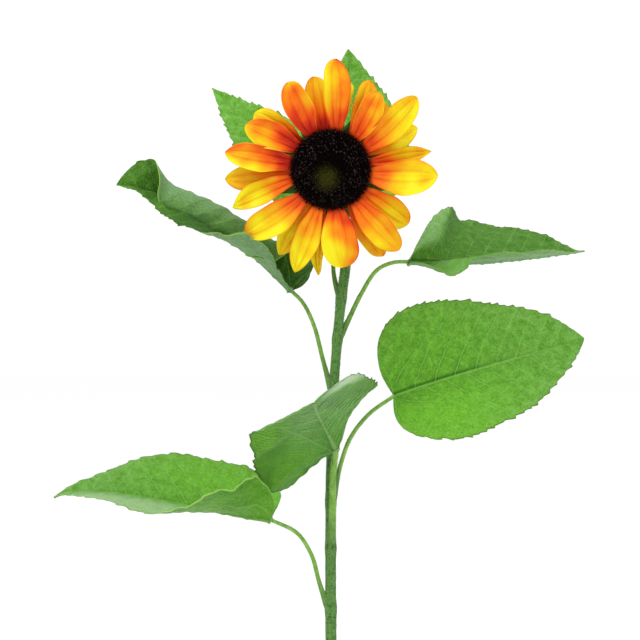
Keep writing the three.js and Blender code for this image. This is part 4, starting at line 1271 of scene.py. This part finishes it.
def bract_shape(rows, u, v):
    """Bracts in the head's frame. The half-width is (1 - u^1.7) (0.75 + 0.6 u) of half the width,
    drawn out to a narrow point; the blade falls back by u^2 and its edges stand up by v^2."""
    bearing, root, length, width, height, fall = (rows[:, k, None, None] for k in range(6))
    radial = root + length * u
    out = -v * width / 2 * (1 - u**1.7) * (0.75 + 0.6 * u) * (1 - 0.35 * ease(u, 0.55, 1.0))
    axial = height - fall * u * u + 0.9 * v * v * (1 - u) + 0.35 * np.sin(bearing * 5 + u * 6)
    return on_bearing(bearing, radial, out, axial)


def bract_blades(rows=26, columns=11):
    """Both faces of all bracts, as blades with a rib along the back."""
    table = bract_rows()
    u = (0.002 + 0.996 * np.linspace(0, 1, rows))[None, :, None]
    v = np.linspace(-1, 1, columns)[None, None, :]
    points = bract_shape(table, u, v)
    normal = unit(np.cross(np.gradient(points, axis=2), np.gradient(points, axis=1)))
    away = np.abs(v) + 0 * u
    rib = 0.3 * np.exp(-((v / 0.16) ** 2)) * (1 - u)
    half = BRACT_THICKNESS / 2 * (1 - 0.5 * away**4)
    top = points + normal * half[..., None]
    under = points - normal * (half + rib)[..., None]
    count = len(table)
    both = np.concatenate([top.reshape(count, -1, 3), under.reshape(count, -1, 3)], 1)
    step = np.arange(count)[:, None, None] * (2 * rows * columns)
    faces = (blade_faces(rows, columns)[0] + step).reshape(-1, 4)
    run = np.resize(u + 0 * v, (count, both.shape[1]))
    side = np.resize(v + 0 * u, (count, both.shape[1]))
    flat = np.stack([run * 1.8, side * 0.4 + np.arange(count)[:, None]], -1)
    return add_piece("bracts", from_head(both.reshape(-1, 3)), faces, [bract_finish()], flat=flat,
                     shares={"run": run, "edge": np.abs(side)})


def receptacle_cup(rows=34, sides=72):
    """The cup behind the flower: an eased profile carried round the axis, with nine shallow
    ribs that run on from the stem."""
    share = np.linspace(0, 1, rows)
    outline = path_through([(r, 0, h) for r, h in RECEPTACLE]).at(share)
    angle = turns(sides)
    radius = outline[:, :1] * (1 + 0.02 * np.cos(9 * angle)[None, :])
    rings = np.stack([radius * np.cos(angle), radius * np.sin(angle),
                      outline[:, 2:] + 0 * radius], -1)
    ends = np.array([[0, 0, RECEPTACLE[0][1]], [0, 0, RECEPTACLE[-1][1]]])
    points = from_head(np.vstack([rings.reshape(-1, 3), ends]))
    shares = {"run": np.append(np.repeat(share * 0.6 + 0.3, sides), [0.3, 0.9]), "edge": 0.0}
    flat = np.stack([np.repeat(share * 2, sides), np.tile(angle * 2, rows)], -1)
    return add_piece("receptacle_cup", points, tube_faces(rows, sides), [bract_finish()],
                     flat=np.vstack([flat, [[0, 0], [2, 0]]]), shares=shares)


@lru_cache(maxsize=None)
def bract_finish():
    """Streaked green, paler at the edges, and maroon towards the root, partly its own colour and
    partly painted shade near the disc.
    """
    look = bpy.context.scene.sunflower_head
    finish = Finish("bract skin", Specular_IOR_Level=0.15)
    flat = finish.flat()
    run, edge = finish.shares("run", "edge")
    streak = finish.noise(finish.stretched(flat, 1.2, 8.0), 4.0, 3.0, 0.6)
    patch = finish.noise(flat, 3.0, 3.0)
    colour = finish.mix(look.deep_green, look.green, ease(streak, 0.3, 0.65))
    colour = finish.mix(colour, look.pale_green, ease(edge, 0.8, 1.0) * 0.5)
    # Maroon towards the root: partly the bract's own colour, partly painted shade near the disc.
    root = fade_out(run + (patch - 0.5) * 0.3, 0.12, 0.5)
    colour = finish.mix(colour, look.maroon, root * 0.8)
    return finish.done(colour, 0.5 + patch * 0.25, streak, 0.4, 0.0004)


# ---------------------------------------------------------------- studio


def studio_floor(look):
    """A wide round floor at ground level, a flat grid of rings round a middle point."""
    radius = np.linspace(0.02, 1.0, FLOOR_RINGS)[:, None] ** 1.5 * look.floor_size
    angle = turns(FLOOR_SIDES)[None, :]
    rings = np.stack([radius * np.cos(angle), radius * np.sin(angle), 0 * radius * angle], -1)
    points = np.vstack([rings.reshape(-1, 3), [[0, 0, 0]]])
    points[:, 2] = FLOOR_LEVEL
    faces = grid_faces(FLOOR_RINGS, FLOOR_SIDES, around=True)[:, ::-1].tolist()
    ring = np.arange(FLOOR_SIDES)
    middle = np.full(FLOOR_SIDES, len(points) - 1)
    faces += np.stack([middle, ring, np.roll(ring, -1)], -1).tolist()
    finish = Finish("studio floor", Specular_IOR_Level=0.0, Roughness=0.9)
    grain = finish.noise(finish.place(), 3.0, 2.0)
    finish.feed("Base Color", finish.mix(look.floor_tone, (1.0, 1.0, 1.0), grain * 0.1))
    add_piece("studio_floor", points / MM, faces, [finish.material])


def soft_box(name, place, size, power):
    """A square lamp that looks from its place at the middle of the plant."""
    data = bpy.data.lights.new(name, "AREA")
    data.shape, data.size, data.energy = "SQUARE", size, power
    light = bpy.data.objects.new(name, data)
    back = unit(np.subtract(place, LIGHTS_AIM))
    side = unit(np.cross((0.0, 0.0, 1.0), back))
    turn = np.stack([side, np.cross(back, side), back, place], -1)
    light.matrix_world = Matrix([*turn.tolist(), (0.0, 0.0, 0.0, 1.0)])
    bpy.context.scene.collection.objects.link(light)


# ---------------------------------------------------------------- settings


def colour_setting(name, text, colour):
    return FloatVectorProperty(name=name, description=text, subtype="COLOR", size=3, min=0.0,
                               max=1.0, default=tone(*colour))


def length_setting(name, text, metres):
    return FloatProperty(name=name, description=text, subtype="DISTANCE", unit="LENGTH", min=0.0,
                         default=metres)


def count_setting(name, text, count):
    return IntProperty(name=name, description=text, min=1, default=count)


class StemSettings(bpy.types.PropertyGroup):
    hair_length: length_setting("Hair length", "Middle length of the white hairs", 0.0009)
    hairs: count_setting("Hairs", "Number of hairs on the stem", 6400)
    green: colour_setting("Green", "The stem's lighter green", (88, 132, 62))
    deep_green: colour_setting("Deep green", "Streaks and mottling", (52, 88, 34))
    pale_green: colour_setting("Pale green", "Flecks at the feet of the hairs", (140, 170, 118))
    stalk_green: colour_setting("Stalk green", "The leaf stalks' green", (130, 176, 74))
    stalk_deep: colour_setting("Stalk shade", "Streaks along the stalks", (96, 144, 50))
    stalk_pale: colour_setting("Stalk light", "Yellower patches of the stalks", (158, 198, 100))
    hair_white: colour_setting("Hair white", "The hairs", (206, 220, 194))


class LeafSettings(bpy.types.PropertyGroup):
    thickness: length_setting("Thickness", "Thickness of a blade", 0.00055)
    tooth_depth: length_setting("Tooth depth", "How far the margin's teeth stand out", 0.0015)
    teeth: count_setting("Teeth", "Teeth along each side", 26)
    vein_depth: length_setting("Vein depth", "How deep the veins lie", 0.0006)
    green: colour_setting("Green", "The upper side's middle green", (84, 148, 32))
    deep_green: colour_setting("Deep green", "Shaded grooves and patches", (48, 110, 18))
    bright_green: colour_setting("Bright green", "Sunny patches", (102, 174, 36))
    vein_green: colour_setting("Vein green", "Veins of the upper side", (134, 188, 84))
    bloom_green: colour_setting("Bloom", "Pale bloom towards the margin", (126, 168, 106))
    tooth_green: colour_setting("Tooth tips", "Dark tips of the teeth", (60, 92, 42))
    under_green: colour_setting("Under side", "The under side's green", (92, 152, 34))
    under_deep: colour_setting("Under side shade", "Between the under side's veins", (64, 122, 22))
    under_pale: colour_setting("Under side down", "Fine pale hairs", (130, 166, 118))
    under_vein: colour_setting("Under side veins", "Raised veins", (140, 178, 112))
    margin_green: colour_setting("Margin", "The margin seen from below", (152, 202, 100))
    # White down with painted sheen where the edges turn.
    frost: colour_setting("Frost", "Dense white down on turned edges", (186, 212, 172))


class PetalSettings(bpy.types.PropertyGroup):
    thickness: length_setting("Thickness", "Thickness of a petal at its root", 0.0005)
    pleat_depth: length_setting("Pleat depth", "Depth of the creases along a petal", 0.00055)
    root_brown: colour_setting("Root brown", "Where a petal leaves the disc", (70, 16, 4))
    red: colour_setting("Red", "Near the root", (165, 22, 0))
    scarlet: colour_setting("Scarlet", "Beyond the root", (206, 60, 3))
    orange: colour_setting("Orange", "Towards the middle", (222, 96, 4))
    amber: colour_setting("Amber", "The middle", (223, 132, 6))
    gold: colour_setting("Gold", "Beyond the middle", (224, 166, 6))
    yellow: colour_setting("Yellow", "Near the tip", (224, 196, 8))
    light_yellow: colour_setting("Light yellow", "The lightest tips", (227, 212, 24))
    under_yellow: colour_setting("Under side", "Duller yellow behind", (240, 178, 30))


class HeadSettings(bpy.types.PropertyGroup):
    green: colour_setting("Green", "The bracts' green", (78, 118, 46))
    deep_green: colour_setting("Deep green", "Streaks along the bracts", (44, 76, 24))
    pale_green: colour_setting("Pale green", "The bracts' edges", (122, 156, 84))
    # Partly the bracts' own maroon and partly painted shade near the disc.
    maroon: colour_setting("Maroon", "The roots of the bracts", (58, 30, 16))


class DiscSettings(bpy.types.PropertyGroup):
    florets: count_setting("Florets", "Number of florets", 900)
    bristles: count_setting("Bristles", "Number of bristles", 2200)
    black_brown: colour_setting("Black brown", "The florets", (8, 4, 3))
    brown: colour_setting("Brown", "Lighter grain of the florets", (24, 13, 10))
    # Painted highlights on the florets' tips.
    glint_pink: colour_setting("Grey pink", "Tips that catch the light", (96, 78, 76))
    maroon: colour_setting("Maroon", "The outermost ring", (44, 6, 10))
    olive: colour_setting("Olive", "The unopened heart", (76, 78, 25))
    olive_light: colour_setting("Light olive", "Bristles of the heart", (112, 112, 50))


class StudioSettings(bpy.types.PropertyGroup):
    distance: length_setting("Camera distance", "From the camera to the stem", 1.5)
    eye_height: length_setting("Camera height", "Height over the ground", 0.231)
    eye_shift: FloatProperty(name="Camera shift", description="Camera's place to the right",
                             subtype="DISTANCE", unit="LENGTH", default=-0.0066)
    lens: FloatProperty(name="Lens", description="Focal length in millimetres", default=140.625,
                        min=10.0)
    floor_size: length_setting("Floor radius", "Radius of the round floor", 9.0)
    floor_tone: colour_setting("Floor", "The floor's tone", (247, 247, 247))
    sky: FloatProperty(name="Surrounding light", description="Even white light", default=1.06,
                       min=0.0)
    key: FloatProperty(name="Key light", description="Power of the large soft box", default=14.0,
                       min=0.0, unit="POWER")


# ---------------------------------------------------------------- operators


class SUNFLOWER_OT_studio(bpy.types.Operator):
    """Sets up the floor, the lights and the camera"""

    bl_idname = "sunflower.studio"
    bl_label = "Studio"

    def execute(self, context):
        look = context.scene.sunflower_studio
        scene = context.scene
        scene.view_settings.view_transform = "Standard"
        scene.view_settings.look = "None"
        world = bpy.data.worlds.new("studio light")
        world.use_nodes = True
        background = world.node_tree.nodes["Background"]
        background.inputs[0].default_value = (1.0, 1.0, 1.0, 1.0)
        background.inputs[1].default_value = look.sky
        scene.world = world
        studio_floor(look)
        for name, (place, size, part) in SOFT_BOXES.items():
            soft_box(name, place, size, look.key * part)
        data = bpy.data.cameras.new("camera")
        data.lens, data.sensor_width, data.clip_end = look.lens, 36.0, 50.0
        camera = bpy.data.objects.new("camera", data)
        camera.location = (look.eye_shift, -look.distance, look.eye_height)
        camera.rotation_euler = (math.pi / 2, 0.0, 0.0)
        scene.collection.objects.link(camera)
        scene.camera = camera
        return {"FINISHED"}


class SUNFLOWER_OT_stem(bpy.types.Operator):
    """Grows the stem"""

    bl_idname = "sunflower.stem"
    bl_label = "Stem"

    def execute(self, context):
        path, shares, radii = stem_shape()
        settle(limb_piece("stem_skin", path, shares, radii, stem_finish()), "stem_green", "stem")
        return {"FINISHED"}


class SUNFLOWER_OT_stalks(bpy.types.Operator):
    """Grows the leaf stalks"""

    bl_idname = "sunflower.stalks"
    bl_label = "Leaf stalks"

    def execute(self, context):
        for name, (line, radii) in STALKS.items():
            path, shares, rings = stalk_shape(line, radii)
            piece = limb_piece(f"stalk_{name}", path, shares, rings, stalk_finish())
            settle(piece, "stalk_green", f"leaf_stalk_{name}")
        return {"FINISHED"}


class SUNFLOWER_OT_hairs(bpy.types.Operator):
    """Scatters white hairs over the stem and the leaf stalks"""

    bl_idname = "sunflower.hairs"
    bl_label = "Hairs"

    def execute(self, context):
        look = context.scene.sunflower_stem
        length = look.hair_length / MM
        sets = [hairs_on(*stem_shape(120, 12), look.hairs, length, SEEDS["stem hairs"])]
        for seed, (name, (line, radii)) in enumerate(STALKS.items(), SEEDS["stalk hairs"]):
            count = look.hairs // (FRONT_HAIR_PART if name == "front" else HAIR_PART)
            limb = stalk_shape(line, radii, 40, 8)
            sets.append(hairs_on(*limb, count, length * 0.8, seed))
        feet, ways, lengths = (np.concatenate(rows) for rows in zip(*sets))
        points, faces = needles(feet, ways, lengths, HAIR_RADIUS, bend=0.15)
        settle(add_piece("hairs", points, faces, [hair_finish()]), "stem_green")
        return {"FINISHED"}


class SUNFLOWER_OT_leaves(bpy.types.Operator):
    """Grows the seven leaf blades"""

    bl_idname = "sunflower.leaves"
    bl_label = "Leaves"

    def execute(self, context):
        look = context.scene.sunflower_leaves
        for seed, (name, leaf) in enumerate(LEAVES.items(), 1):
            blade = leaf_blade(f"blade_{name}", {**PLAIN_LEAF, **leaf}, look, seed)
            settle(blade, "leaf_green", f"leaf_{name}")
        return {"FINISHED"}


class SUNFLOWER_OT_receptacle(bpy.types.Operator):
    """Grows the green cup behind the flower and its bracts"""

    bl_idname = "sunflower.receptacle"
    bl_label = "Receptacle and bracts"

    def execute(self, context):
        settle(receptacle_cup(), "bract_green", "receptacle")
        settle(bract_blades(), "bract_green", "receptacle")
        return {"FINISHED"}


class SUNFLOWER_OT_petals(bpy.types.Operator):
    """Grows the ray petals"""

    bl_idname = "sunflower.petals"
    bl_label = "Petals"

    def execute(self, context):
        look = context.scene.sunflower_petals
        for index, petal in enumerate(PETALS):
            settle(petal_blade(index, petal, look), "petal_yellow", f"ray_petal_{index + 1:02d}")
        return {"FINISHED"}


class SUNFLOWER_OT_disc(bpy.types.Operator):
    """Grows the disc with its florets and bristles"""

    bl_idname = "sunflower.disc"
    bl_label = "Disc"

    def execute(self, context):
        look = context.scene.sunflower_disc
        for piece in (disc_cushion(), disc_florets(look), disc_bristles(look)):
            settle(piece, "disc_brown", "seed_disc")
        return {"FINISHED"}


STEPS = [
    ("studio", "sunflower_studio"), ("stem", "sunflower_stem"), ("stalks", None), ("hairs", None),
    ("leaves", "sunflower_leaves"), ("receptacle", "sunflower_head"),
    ("petals", "sunflower_petals"), ("disc", "sunflower_disc"),
]


class SUNFLOWER_PT_parts(bpy.types.Panel):
    bl_label = "Sunflower"
    bl_space_type = "VIEW_3D"
    bl_region_type = "UI"
    bl_category = "Sunflower"

    def draw(self, context):
        for step, settings in STEPS:
            box = self.layout.box()
            box.operator(f"sunflower.{step}")
            if settings:
                group = getattr(context.scene, settings)
                for key in group.__annotations__:
                    box.prop(group, key)


SETTINGS = {
    "sunflower_stem": StemSettings, "sunflower_leaves": LeafSettings,
    "sunflower_petals": PetalSettings, "sunflower_head": HeadSettings,
    "sunflower_disc": DiscSettings, "sunflower_studio": StudioSettings,
}
CLASSES = [
    *SETTINGS.values(), SUNFLOWER_OT_studio, SUNFLOWER_OT_stem, SUNFLOWER_OT_stalks,
    SUNFLOWER_OT_hairs, SUNFLOWER_OT_leaves, SUNFLOWER_OT_receptacle, SUNFLOWER_OT_petals,
    SUNFLOWER_OT_disc, SUNFLOWER_PT_parts,
]


def register():
    for cls in CLASSES:
        bpy.utils.register_class(cls)
    for name, group in SETTINGS.items():
        setattr(bpy.types.Scene, name, PointerProperty(type=group))


def unregister():
    for name in SETTINGS:
        delattr(bpy.types.Scene, name)
    for cls in reversed(CLASSES):
        bpy.utils.unregister_class(cls)


def main():
    register()
    for step, _ in STEPS:
        getattr(bpy.ops.sunflower, step)()
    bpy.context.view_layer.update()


if __name__ == "__main__":
    main()
